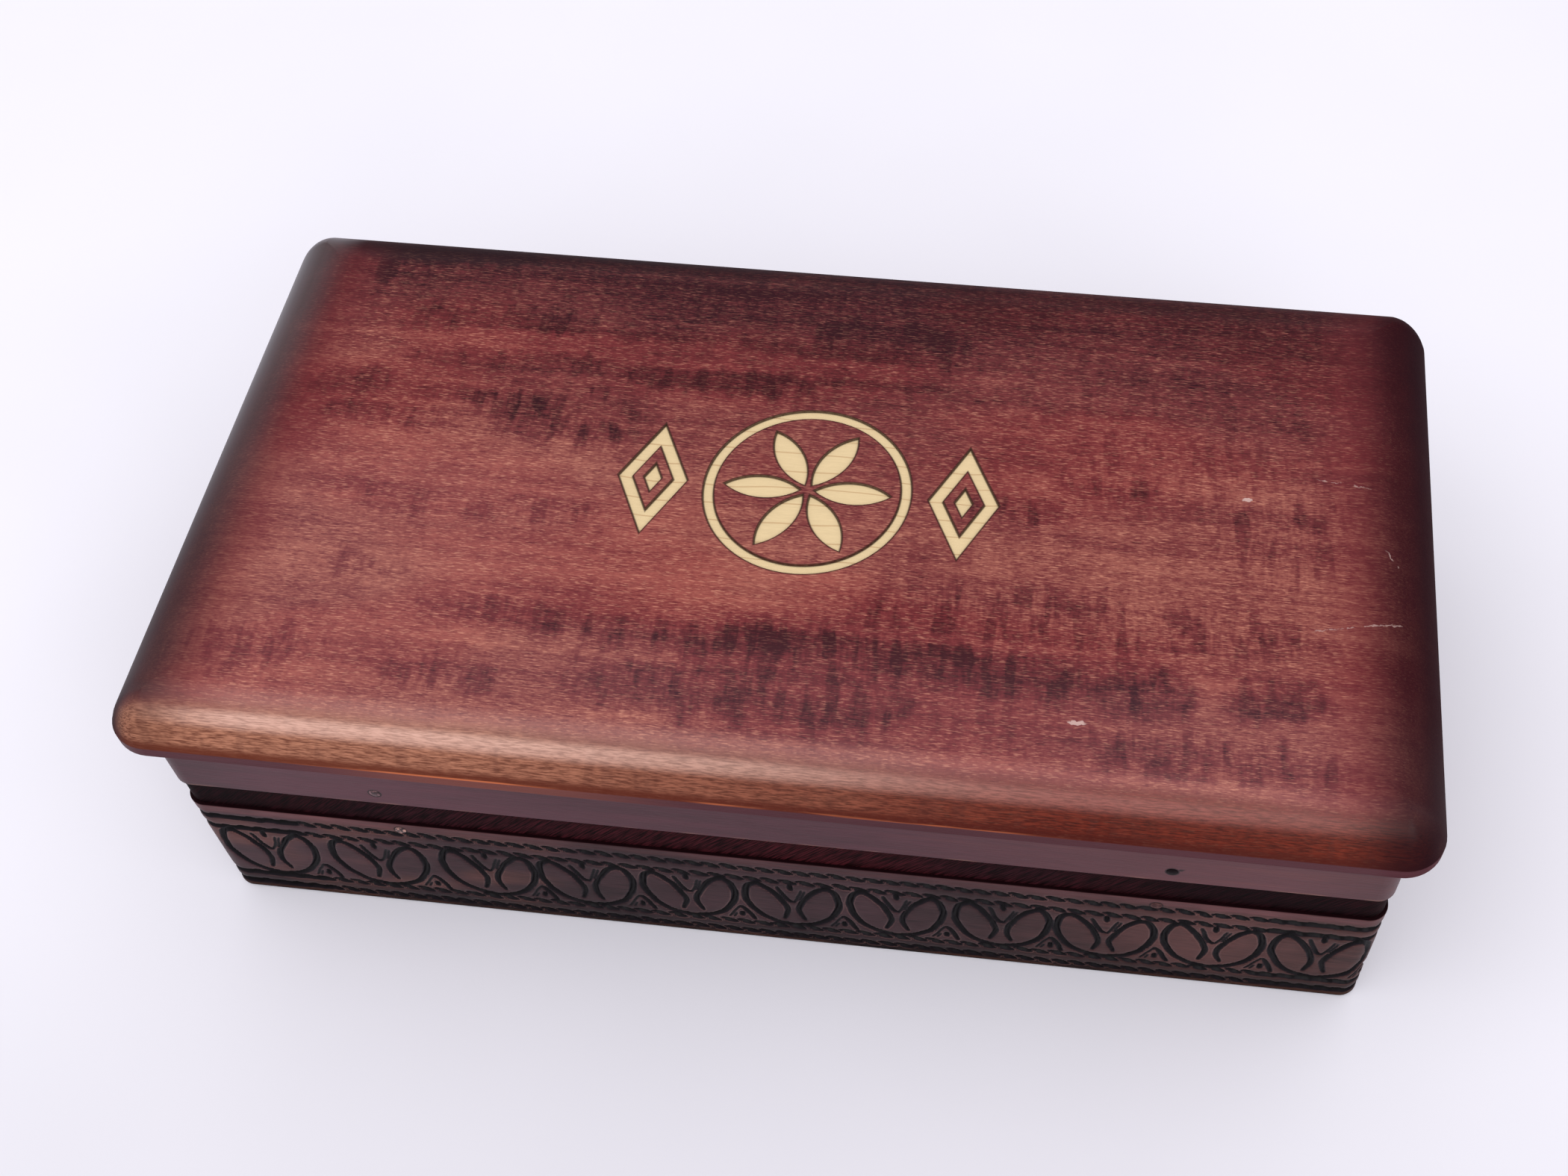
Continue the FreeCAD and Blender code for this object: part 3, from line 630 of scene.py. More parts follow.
def upright_edge(bench, finish, wood, colour):
    """Plum edge under the shoulder, stain with a painted reflection of the pale floor, with the arris above
    it rubbed to orange; bare wood beneath.
    """
    x, y, z, streak = wood.x, wood.y, wood.z, wood.streak
    edge_top = LID_FOOT + LID_EDGE_HEIGHT
    upright = bench.ease(z, edge_top + 0.2, edge_top - 0.2)
    # the edge's plum is stain with a painted reflection of the pale floor; it is rubbed browner at the left
    edge = bench.blend(bench.ease(abs(x + 60), 50, 10) * 0.7, tint("edge plum with painted floor reflection"), tint("edge rubbed"))
    colour = bench.blend(upright, colour, bench.shade(edge, 0.7 + 0.6 * streak))
    near_arris = bench.ease(abs(z - (edge_top + 0.15)), 0.34, 0.05) * bench.ease(abs(x + 20), 95, 60)
    rubbed = near_arris * bench.ease(wood.from_front, 3, 1) * bench.ease(streak, 0.46, 0.60)
    colour = bench.blend(rubbed * 0.5, colour, tint("edge arris"))
    under = bench.ease(z, LID_FOOT + 0.4, LID_FOOT + 0.2)
    return bare_inside(bench, colour, finish, wood.place, x, y, under)


def bared_ornament(bench, finish, wood, colour, on_top):
    """Colour with the ornament: pale sunk wood in a thin charred outline; and where it is sunk."""
    distance = ornament_distance(bench, wood.x, wood.y)
    sunk = bench.ease(distance, 0.05, -0.05) * on_top
    wave = bench.grained(wood.place, 30, 20, offset=31.0) * 5
    growth = bench.maths("FRACT", (wood.y + wave) / GROWTH_SPACING)
    growth_line = bench.ease(abs(growth - 0.5), 0.06, 0.0)
    pale = bench.shade(finish.engraved, 0.86 + 0.22 * wood.fibre)
    pale = bench.blend(growth_line * 0.5, pale, tint("ornament growth line"))
    colour = bench.blend(sunk, colour, pale)
    charred = bench.ease(abs(distance), CHAR_WIDTH, 0.1) * on_top
    return bench.blend(charred * 0.85, colour, tint("ornament char")), sunk


def lid_coat(bench, wood, ends):
    """Weight of the polish: more on the front and left shoulders, little where the stain gathers."""
    shoulder = bench.ease(abs(wood.from_front - 8.5), 5.0, 1.0) * bench.ease(wood.from_end, 2, 10)
    coat = 0.12 - 0.11 * ends + 0.18 * shoulder + bench.ease(wood.y, -40, -66) * 0.06
    coat = coat * (0.2 + 0.8 * bench.ease(wood.from_front, 1, 6))
    coat = coat * (0.35 + 0.65 * bench.ease(wood.from_back, 8, 18))
    left_end = bench.ease(wood.x, 21 - LID_HALF_LENGTH, 11 - LID_HALF_LENGTH)
    sheen = left_end * (0.22 + 0.5 * bench.ease(wood.y, -60, 60))
    return coat + sheen * bench.ease(wood.from_front, 4, 16)


def lid_finish(finish):
    """Polished curly wood with an uneven red stain, bared by the ornament."""
    material, bench, place, (x, y, z) = new_finish("polished_lid_wood")
    wood = lid_wood(bench, place, x, y, z)
    colour, ends = lid_figure(bench, finish, wood)
    on_top = bench.ease(z, LID_TOP - 1.5, LID_TOP - 1.0)
    colour = bench.blend(lid_marks(bench, place, x, y) * on_top * 0.8, colour, tint("lid nick"))
    colour = upright_edge(bench, finish, wood, colour)
    colour, sunk = bared_ornament(bench, finish, wood, colour, on_top)
    roughness = bench.largest(0.34 + 0.10 * wood.streak + 0.25 * sunk, ends * 0.8)
    roughness = bench.largest(roughness, bench.ease(wood.from_back, 18, 10) * 0.8)
    settle(bench, colour, roughness, 0.03, wood.fibre, 0.06 * MM, coat=lid_coat(bench, wood, ends))
    return material


def plum_finish(finish):
    """Satin plum stain on the frame; bare wood on the faces that look inwards."""
    material, bench, place, (x, y, z) = new_finish("plum_stained_wood")
    streak = bench.grained(place, 60, 3.0, offset=2.0, detail=3.0, roughness=0.55)
    fibre = bench.grained(place, 7, 0.32, offset=6.0, detail=2.0, roughness=0.6)
    haze = bench.grained(place, 110, 40, offset=14.0)
    depth = 0.42 + 0.6 * (streak - 0.5) + 0.50 * (fibre - 0.5) + 0.75 * haze
    depth = depth + 0.17 * bench.ease(abs(x), 40, 110) - 0.24 * bench.ease(abs(x), 116, 140)
    colour = bench.shade(finish.plum, depth)
    red = bench.ease(streak + (haze - 0.5), 0.55, 0.78) * 0.3 + bench.ease(x, 0, 110) * 0.5
    colour = bench.blend(red, colour, bench.shade(tint("frame red"), depth))
    foot = FRAME_LOW.z / MM
    scuff = bench.grained(place, 8, 2, offset=41.0)
    arris = bench.ease(z, foot + 1.0, foot + 0.2) * bench.ease(scuff, 0.50, 0.66)
    colour = bench.blend(arris * 0.6, colour, finish.worn)

    # a dark joint round each pin, and a small leaning knot beside the right one
    left_pin, right_pin = pin_places("front_frame_pins")
    ring = pin_ring(bench, x, z, (left_pin, right_pin))
    aside, above = x - right_pin[0] - 1.9, z - right_pin[1] - 1.0
    knot = abs(aside * 0.9 + above * 0.45) / 1.5 + abs(above * 0.9 - aside * 0.45) / 0.8
    ring = bench.largest(ring, bench.ease(knot, 1.0, 0.4))
    colour = bench.blend(ring * 0.9, colour, tint("frame joint"))
    colour = bare_inside(bench, colour, finish, place, x, y)
    settle(bench, colour, 0.36 + 0.14 * streak, 0.18, fibre, 0.05 * MM)
    return material


def rail_finish(finish):
    """Matt near-black stain over wood scored by fine slanting scratches."""
    material, bench, place, (x, y, z) = new_finish("dark_rail_wood")
    lean = bench.combine((x - z * 0.9 + y * 0.9) / 0.5, y / 5, z / 5)
    hairs = bench.noise(lean, 1.0, 2.0, 0.6)
    cloud = bench.grained(place, 40, 18, offset=8.0)
    middle = bench.ease(abs(x + 10), 125, 60)
    depth = 0.26 + 2.0 * bench.ease(hairs, 0.36, 0.70) * (0.55 + 0.80 * middle)
    redness = bench.ease(abs(x + 15), 90, 10) * 0.5 + bench.ease(cloud, 0.45, 0.65) * 0.3
    stained = bench.blend(redness, finish.rail, tint("rail red"))
    colour = bare_inside(bench, bench.shade(stained, depth), finish, place, x, y)
    settle(bench, colour, 0.55 + 0.2 * hairs, 0.03, hairs, 0.12 * MM)
    return material


def carved_finish(finish):
    """Stained ground with black cuts, pale lips and a lighter foot line that are partly wear and partly
    painted highlight, and painted shade towards the foot and on the ledge.
    """
    material, bench, place, (x, y, z) = new_finish("carved_wall_wood")

    def carved(name, output):
        """Read a field that the carving tree left on the wall."""
        return bench.node("ShaderNodeAttribute", {"attribute_name": name}, None, output)

    strip = bench.vector("MULTIPLY", carved("layout", "Vector"), (1 / MM, 1 / MM, 1 / MM))
    shore = carved("shore", "Fac") / MM
    streak = bench.grained(strip, 34, 3.2, offset=2.0, detail=3.0, roughness=0.55)
    fibre = bench.grained(strip, 6, 0.36, offset=7.0, detail=2.0, roughness=0.6)
    cloud = bench.grained(strip, 30, 16, offset=15.0)

    # ground: paler towards both ends, brown at the outer right, with a redder band along the top
    outer = bench.ease(abs(x), 50, 125)
    depth = 0.62 + 0.8 * (cloud - 0.45) + 0.9 * (streak - 0.5) + 1.1 * (fibre - 0.5)
    depth = depth + 0.28 * outer - 0.18 * bench.ease(x, 95, 130)
    # painted shade: the ground darkens strongly towards the foot, near the floor
    depth = depth * (0.16 + 0.84 * bench.ease(z, 1, 13))
    colour = bench.shade(finish.field, depth)
    brown = bench.ease(cloud, 0.48, 0.62) * 0.6 * bench.ease(x, -40, -70) + bench.ease(x, 20, 110) * 0.6
    colour = bench.blend(brown, colour, bench.shade(tint("wall brown"), depth))
    band = bench.shade(tint("wall top band"), depth * (0.68 + 0.36 * outer))
    colour = bench.blend(bench.ease(z, 38.8, 40.2) * 0.75, colour, band)

    # cuts: a pale lip, partly rubbed wood and partly painted highlight, then the black wash
    lip = bench.ease(abs(shore - 0.26), 0.24, 0.0)
    rubbed = lip * bench.ease(fibre + (cloud - 0.5) * 1.6, 0.40, 0.70) * 0.42
    colour = bench.blend(rubbed, colour, tint("wall lip, rubbed and painted highlight"))
    wash = bench.ease(shore, 0.26, -0.08)
    core = bench.ease(carved("cut", "Fac"), 0.10, 0.75)
    colour = bench.blend(wash, colour, bench.blend(core, tint("wall wash"), finish.groove))

    # painted shade: the narrow ledge on top of the wall, under the rail, is painted in the rail's dark colour
    wall_top = WALL_TOP / MM
    ledge_painted_shade = bench.ease(z, wall_top - 0.25, wall_top - 0.05)
    colour = bench.blend(ledge_painted_shade, colour, finish.rail)
    # a lighter line along the rounded foot: partly wear, partly painted highlight
    foot = bench.ease(abs(z - 1.7), 0.6, 0.1) * bench.ease(streak, 0.35, 0.6) * 0.5
    colour = bench.blend(foot, colour, tint("wall foot line, worn and painted highlight"))
    ring = pin_ring(bench, x, z, pin_places("front_wall_pins"))
    colour = bench.blend(ring * 0.9, colour, tint("wall joint"))
    colour = bare_inside(bench, colour, finish, place, x, y)
    coat = (0.17 - 0.05 * wash) * bench.ease(z, 0, 7) * (1 - ledge_painted_shade)
    settle(bench, colour, 0.40 + 0.14 * streak, 0.03, fibre, 0.05 * MM, coat=coat)
    return material


def bottom_finish(finish):
    """Bare thin board with soft growth lines."""
    material, bench, place, _ = new_finish("plain_bottom_wood")
    wander = (bench.grained(place, 80, 30, offset=1.0) - 0.5) * 18
    bent = bench.vector("ADD", place, bench.combine(0.0, wander, 0.0))
    lines = bench.grained(bent, 90, 2.4, offset=4.0, detail=3.0, roughness=0.6)
    fibre = bench.grained(place, 6, 0.4, offset=9.0, detail=2.0, roughness=0.6)
    colour = bench.shade(finish.bare, 0.70 + 0.42 * lines + 0.18 * (fibre - 0.5))
    settle(bench, colour, 0.6 + 0.1 * lines, 0.3, fibre, 0.06 * MM)
    return material


def pin_finish():
    """End grain of a stained pin, rubbed pale at the left; the right pins kept their stain."""
    material, bench, place, (x, _, z) = new_finish("pin_wood")
    rings = bench.noise(place, 0.9, 2.0, 0.6)
    right = bench.ease(x, 0, 10)
    on_frame = bench.ease(z, 48, 50)
    pale = bench.blend(on_frame, tint("wall pin"), tint("frame pin"))
    colour = bench.blend(bench.ease(rings, 0.42, 0.58), tint("pin rings"), pale)
    colour = bench.blend(right * on_frame, colour, tint("right frame pin"))
    colour = bench.blend(right * (1 - on_frame) * 0.9, colour, tint("right wall pin"))
    settle(bench, colour, 0.32 + 0.1 * rings, 0.03, rings, 0.05 * MM, coat=0.5 * (1 - right))
    return material


# ------------------------------------------------------------------ carved walls


def start_tree(name, source, inputs, result):
    """Begin a geometry tree; return it, its bench and its inputs by name."""
    tree = bpy.data.node_groups.new(name, "GeometryNodeTree")
    for label, kind in ((source, "NodeSocketGeometry"), *inputs):
        tree.interface.new_socket(name=label, in_out="INPUT", socket_type=kind)
    tree.interface.new_socket(name=result, in_out="OUTPUT", socket_type="NodeSocketGeometry")
    bench = Bench(tree)
    entry = tree.nodes.new("NodeGroupInput")
    return tree, bench, {socket.name: Wire(bench, socket) for socket in entry.outputs if socket.name}


def close_tree(bench, geometry, wood):
    """End a geometry tree with real geometry in one wood."""
    geometry = bench.node("GeometryNodeRealizeInstances", None, {0: geometry})
    geometry = bench.node("GeometryNodeSetMaterial", None, {0: geometry, "Material": wood})
    leave = bench.tree.nodes.new("NodeGroupOutput")
    bench.tree.links.new(geometry.socket, leave.inputs[0])


def points_in_row(bench, count, start, second, mode="OFFSET"):
    """A row of points from a start; second is the step between them, or the end in mode END_POINTS."""
    return bench.node("GeometryNodeMeshLine", {"mode": mode}, {
        "Count": count,
        "Start Location": bench.combine(*start),
        "Offset": bench.combine(*second),
    })


def slip(bench, seed, low, high):
    """A small random vector for each instance."""
    inputs = {0: low, 1: high, "Seed": seed}
    return bench.node("FunctionNodeRandomValue", {"data_type": "FLOAT_VECTOR"}, inputs)


def keep_field(bench, geometry, name, value, kind="FLOAT"):
    """Store a field on the points as a named attribute."""
    inputs = {0: geometry, "Name": name, "Value": value}
    settings = {"data_type": kind, "domain": "POINT"}
    return bench.node("GeometryNodeStoreNamedAttribute", settings, inputs)


def smooth_path(points, steps):
    """Run a Catmull-Rom curve through points, so a stroke needs only its turning places."""
    padded = [points[0], *points, points[-1]]
    path = []
    for index in range(len(points) - 1):
        before, start, end, after = (Vector(point) for point in padded[index:index + 4])
        for step in range(steps):
            share = step / steps
            square, cube = share ** 2, share ** 3
            path.append(0.5 * (2 * start + (end - before) * share
                               + (2 * before - 5 * start + 4 * end - after) * square
                               + (3 * start - before - 3 * end + after) * cube))
    path.append(Vector(points[-1]))
    return path


# One motif, in millimetres from its middle line and from the foot of the wall.
# Each stroke: its turning places and its half width at both ends and in the middle.
OVAL_HALF = [(2.6, 12.6), (1.4, 17.3), (2.3, 21.6), (4.2, 25.8), (6.4, 28.9), (8.5, 30.3),
             (10.6, 28.9), (11.7, 24.4), (11.2, 19.6), (8.8, 14.2), (5.0, 10.8), (0.0, 9.4)]
MOTIF_STROKES = [
    (OVAL_HALF, (0.42, 0.90, 0.74)),
    ([(-x, z) for x, z in OVAL_HALF], (0.42, 0.90, 0.74)),
    ([(-3.3, 29.2), (-1.7, 24.6), (-0.6, 22.5), (0.5, 22.1)], (0.40, 0.58, 0.40)),
    ([(0.5, 22.1), (1.5, 24.2), (2.8, 28.6)], (0.34, 0.34, 0.20)),
    ([(2.1, 23.4), (2.8, 25.6), (3.7, 28.4)], (0.16, 0.26, 0.16)),
    ([(0.0, 30.6), (0.1, 28.4)], (0.62, 0.72, 0.42)),
    ([(12.8, 16.5), (14.0, 14.4), (15.6, 10.2)], (0.42, 0.66, 0.50)),
    ([(12.4, 16.5), (11.0, 14.2), (9.2, 10.6)], (0.36, 0.30, 0.22)),
    ([(11.2, 12.8), (10.3, 10.6)], (0.14, 0.26, 0.16)),
    ([(12.6, 13.2), (12.6, 11.6)], (0.64, 0.72, 0.56)),
]
STROKE_STEPS = 9
ROPE_HEIGHTS = (37.2, 32.1, 8.4, 3.75)
ROPE_STEPS, CORNER_STEPS = 14, 60
ROPE_SLANT, ROPE_STAGGER, ROPE_STRAY = 0.36, 0.9 * MM, 0.12 * MM
# The share of the mesh's rows below a height up the wall in millimetres: they lie closer at the ropes.
ROW_SHARES = ((0.0, 0.0), (0.05, 1.9), (0.31, 10.4), (0.68, 30.4), (0.93, 39.0), (0.97, 41.6), (1.0, 42.5))
CORNER_RUN = 21 * MM
SHAKE = 0.7 * MM
PILLOW_REACH, PILLOW_DROP = 1.1 * MM, 0.10 * MM
FOOT_REACH, FOOT_DROP = 1.3 * MM, 0.7 * MM
TOP_REACH, TOP_DROP = 0.3 * MM, 0.1 * MM
RIM_PLAIN, RIM_CARVED = 0.6 * MM, 2.0 * MM
WAVER, SKIN = 0.10 * MM, 0.06 * MM


def motif_mesh(name):
    """Draw one motif as a mesh of edges that carries the half width of each cut."""
    mesh = bpy.data.meshes.new(name)
    places, edges, widths = [], [], []
    for points, (first, middle, last) in MOTIF_STROKES:
        path = smooth_path([(x, z, 0.0) for x, z in points], STROKE_STEPS)
        start = len(places)
        for index, point in enumerate(path):
            share = index / (len(path) - 1)
            bulge = 4 * share * (1 - share)
            ends = first + (last - first) * share
            places.append(point * MM)
            widths.append((ends + (middle - ends) * bulge ** 0.5) * MM)
            if index:
                edges.append((start + index - 1, start + index))
    mesh.from_pydata(places, edges, [])
    attribute = mesh.attributes.new("half_width", "FLOAT", "POINT")
    attribute.data.foreach_set("value", widths)
    return mesh


CARVING_LENGTHS = (
    "Strip Length", "Wall Height", "Cell", "Motif Pitch", "Motif Shift", "Stretch",
    "Rope Pitch", "Rope Cut Length", "Rope Cut Width", "Groove Depth", "Groove Width",
    "Flat Half Length", "Corner Radius", "Face Distance",
)
CARVING_INPUTS = (
    *((name, "NodeSocketFloat") for name in CARVING_LENGTHS),
    ("Motif Count", "NodeSocketInt"),
    ("Seed", "NodeSocketInt"),
    ("Wood", "NodeSocketMaterial"),
)


def carving_tree():
    """Lay motifs and ropes along a strip, press them in as cuts and wrap it round a wall."""
    tree, bench, given = start_tree("carved_frieze", "Motif", CARVING_INPUTS, "Wall")
    place = bench.node("GeometryNodeInputPosition")
    noise = bench.node("ShaderNodeTexNoise", None, {"Vector": place, "Scale": 260.0, "Detail": 1.0}, "Color")
    shake = bench.vector("MULTIPLY", bench.vector("SUBTRACT", noise, (0.5, 0.5, 0.5)), (SHAKE, SHAKE, 0))
    strokes = [bench.node("GeometryNodeSetPosition", None, {0: kind, "Offset": shake})
               for kind in (motif_row(bench, given), *rope_rows(bench, given))]
    strip = flat_strip(bench, given, place)
    cut, hollow, shore = press(bench, strokes, given["Groove Width"] / 2)
    strip = keep_field(bench, strip, "cut", cut)
    strip = keep_field(bench, strip, "shore", shore)
    depth = carved_depth(bench, given, place, hollow, shore)
    strip = bench.node("GeometryNodeSetPosition", None, {
        0: strip, "Position": wrapped(bench, given, place, depth)})
    close_tree(bench, strip, given["Wood"])
    return tree


def motif_row(bench, given):
    """Motifs in a row, each a little out of true; the first two stand wider apart."""
    first = given["Motif Pitch"] * (given["Motif Count"] - 1) * -0.5 + given["Motif Shift"]
    row = points_in_row(bench, given["Motif Count"], (first, 0.0, 0.0), (given["Motif Pitch"], 0.0, 0.0))
    wider = bench.largest(2 - bench.node("GeometryNodeInputIndex"), 0.0) * given["Stretch"]
    row = bench.node("GeometryNodeSetPosition", None, {0: row, "Offset": bench.combine(-wider, 0.0, 0.0)})
    motifs = bench.node("GeometryNodeInstanceOnPoints", None, {
        "Points": row,
        "Instance": given["Motif"],
        "Rotation": slip(bench, given["Seed"], (0, 0, -0.02), (0, 0, 0.02)),
        "Scale": slip(bench, given["Seed"] + 1, (0.97, 0.985, 1), (1.02, 1.01, 1)),
    })
    return bench.node("GeometryNodeRealizeInstances", None, {0: motifs})


def flat_strip(bench, given, place):
    """The strip laid flat, X along the wall and Y up it, with its places kept as the layout."""
    height = given["Wall Height"]
    columns = bench.maths("ROUND", given["Strip Length"] / given["Cell"]) + 1
    rows = bench.maths("ROUND", height / given["Cell"] * 1.06) + 1
    strip = bench.node("GeometryNodeMeshGrid", None, {
        "Size X": given["Strip Length"], "Size Y": height, "Vertices X": columns, "Vertices Y": rows})
    along, level, _ = bench.split(place)
    top = ROW_SHARES[-1][1]
    stops = [(share, (up / top,) * 3) for share, up in ROW_SHARES]
    heights = bench.node("ShaderNodeValToRGB", {"stops": stops}, {0: level / height + 0.5})
    spread = bench.combine(along, bench.split(heights)[0] * height, 0.0)
    strip = bench.node("GeometryNodeSetPosition", None, {0: strip, "Position": spread})
    return keep_field(bench, strip, "layout", place, "FLOAT_VECTOR")


def carved_depth(bench, given, place, hollow, shore):
    """How far the surface lies behind the wall's face: cuts, soft pillows beside them and worn edges."""
    up = bench.split(place)[1]
    down = given["Wall Height"] - up
    pillow = bench.ease(shore, PILLOW_REACH, 0.0) * PILLOW_DROP
    waver = (bench.noise(place, 90.0, 2.0) - 0.5) * WAVER
    inner_zone = bench.ease(up, RIM_PLAIN, RIM_CARVED) * bench.ease(down, RIM_PLAIN, RIM_CARVED)
    from_foot = bench.ease(up, FOOT_REACH, 0.0)
    depth = hollow * given["Groove Depth"] + (pillow + waver + SKIN) * inner_zone
    return depth + from_foot * from_foot * FOOT_DROP + bench.ease(down, TOP_REACH, 0.0) * TOP_DROP


def wrapped(bench, given, place, depth):
    """Where a place on the strip comes to lie: on the wall's face, round a corner or past it."""
    along, up, _ = bench.split(place)
    radius = given["Corner Radius"]
    overrun = bench.largest(abs(along) - given["Flat Half Length"], 0.0)
    turn = bench.smallest(overrun / radius, math.pi / 2)
    past = bench.largest(overrun - radius * (math.pi / 2), 0.0)
    far = bench.smallest(abs(along), given["Flat Half Length"]) + (radius - depth) * bench.maths("SINE", turn)
    out = given["Face Distance"] - radius + (radius - depth) * bench.maths("COSINE", turn) - past
    return bench.combine(bench.maths("SIGN", along) * far, -out, up)


def press(bench, kinds, full_width):
    """Measure the strip against each kind of stroke.

    It gives how far in a cut a place lies, how deep it is there, and how far it is from the cut's edge.
    """
    cut, hollow, shore = 0.0, 0.0, 1.0
    for strokes in kinds:
        reach = bench.node("GeometryNodeProximity", {"target_element": "EDGES"}, {0: strokes}, "Distance")
        nearest = bench.node("GeometryNodeSampleNearest", {"domain": "POINT"}, {0: strokes})
        stored = bench.node("GeometryNodeInputNamedAttribute", {"data_type": "FLOAT"}, {"Name": "half_width"})
        half_width = bench.node("GeometryNodeSampleIndex", {"data_type": "FLOAT", "domain": "POINT"}, {
            0: strokes, "Value": stored, "Index": nearest})
        part = reach / bench.largest(half_width, 0.02 * MM)
        here = bench.gate(1 - part * part)
        cut = bench.largest(here, cut)
        hollow = bench.largest(here * bench.smallest(half_width / full_width, 1.1), hollow)
        shore = bench.smallest(reach - half_width, shore)
    return cut, hollow, shore


def rope_rows(bench, given):
    """Make the four rope borders out of one slanting cut, and the grooves they run into at both corners."""
    half_x = given["Rope Cut Length"] / 2
    half_y = half_x * ROPE_SLANT
    dash = points_in_row(bench, ROPE_STEPS + 1, (-half_x, half_y, 0.0), (half_x, -half_y, 0.0), "END_POINTS")
    share = bench.node("GeometryNodeInputIndex") / ROPE_STEPS
    swell = (bench.maths("SINE", share * math.pi) ** 0.6 * 0.72 + 0.28) * given["Rope Cut Width"] / 2
    dash = keep_field(bench, dash, "half_width", swell)
    pitch = given["Rope Pitch"]
    count = bench.maths("FLOOR", given["Strip Length"] / pitch)
    corner = given["Flat Half Length"] - CORNER_RUN
    rows, grooves = [], []
    for index, height in enumerate(ROPE_HEIGHTS):
        first = pitch * (count - 1) * -0.5 + index * ROPE_STAGGER
        rows.append(points_in_row(bench, count, (first, height * MM, 0.0), (pitch, 0.0, 0.0)))
        level = (height - 0.1) * MM
        for side in (-1, 1):
            start = (corner * side, level, 0.0)
            end = (given["Strip Length"] * 0.5 * side, level, 0.0)
            grooves.append(points_in_row(bench, CORNER_STEPS, start, end, "END_POINTS"))
    points = bench.node("GeometryNodeJoinGeometry", None, {0: rows})
    spread = slip(bench, given["Seed"] + 2, (-ROPE_STRAY, -ROPE_STRAY, 0), (ROPE_STRAY, ROPE_STRAY, 0))
    points = bench.node("GeometryNodeSetPosition", None, {0: points, "Offset": spread})
    cuts = bench.node("GeometryNodeInstanceOnPoints", None, {
        "Points": points,
        "Instance": dash,
        "Rotation": slip(bench, given["Seed"] + 3, (0, 0, -0.06), (0, 0, 0.06)),
        "Scale": slip(bench, given["Seed"] + 4, (0.95, 0.9, 1), (1.04, 1.1, 1)),
    })
    cuts = bench.node("GeometryNodeRealizeInstances", None, {0: cuts})
    runs = bench.node("GeometryNodeJoinGeometry", None, {0: grooves})
    return cuts, keep_field(bench, runs, "half_width", given["Rope Cut Width"] * 0.48)


def run_tree(piece, tree, values):
    """Give a piece a geometry tree with its named inputs, and keep the result as a plain mesh."""
    modifier = piece.modifiers.new(tree.name, "NODES")
    modifier.node_group = tree
    for item in tree.interface.items_tree:
        if item.item_type == "SOCKET" and item.in_out == "INPUT" and item.name in values:
            modifier[item.identifier] = values[item.name]
    piece.update_tag()
    bpy.context.view_layer.update()
    evaluated = piece.evaluated_get(bpy.context.evaluated_depsgraph_get())
    mesh = bpy.data.meshes.new_from_object(evaluated)
    piece.modifiers.clear()
    old = piece.data
    piece.data = mesh
    bpy.data.meshes.remove(old)
    if not mesh.polygons:
        raise RuntimeError(f"{piece.name}: its geometry tree made nothing")
    return piece


def close_board(mesh, upper, lower):
    """Add the back, top, foot and ends to a carved face.

    upper and lower are the plan outlines of the hidden side, from the right end to the
    left, above and below the rebate for the bottom board.
    """
    bm = bmesh.new()
    bm.from_mesh(mesh)
    layout = bm.verts.layers.float_vector["layout"]
    rim = {vert for edge in bm.edges if edge.is_boundary for vert in edge.verts}
    places = {vert: vert[layout].copy() for vert in rim}
    left, right = min(p.x for p in places.values()), max(p.x for p in places.values())
    foot, top = min(p.y for p in places.values()), max(p.y for p in places.values())
    near = 1e-6

    def row(axis, value):
        other = 1 - axis
        picked = [vert for vert in rim if abs(places[vert][axis] - value) < near]
        return sorted(picked, key=lambda vert: places[vert][other])

    def posts(outline, height):
        return [bm.verts.new((x, y, height)) for x, y in outline]

    upper_top, upper_low = posts(upper, top), posts(upper, REBATE_TOP)
    lower_top, lower_low = posts(lower, REBATE_TOP), posts(lower, foot)
    bm.faces.new(row(1, top) + upper_top)
    bm.faces.new(row(1, foot) + lower_low)
    bm.faces.new(row(0, right) + [upper_top[0], upper_low[0], lower_top[0], lower_low[0]])
    bm.faces.new(row(0, left) + [upper_top[-1], upper_low[-1], lower_top[-1], lower_low[-1]])
    bm.faces.new(upper_low + lower_top[::-1])
    for high, low in ((upper_top, upper_low), (lower_top, lower_low)):
        for index in range(len(high) - 1):
            bm.faces.new((high[index], high[index + 1], low[index + 1], low[index]))
    bmesh.ops.recalc_face_normals(bm, faces=bm.faces)
    wood = next(face.material_index for face in bm.faces)
    for face in bm.faces:
        face.material_index = wood
        face.smooth = len(face.verts) == 4 and all(vert[layout].length > 0 for vert in face.verts)
    bm.to_mesh(mesh)
    bm.free()


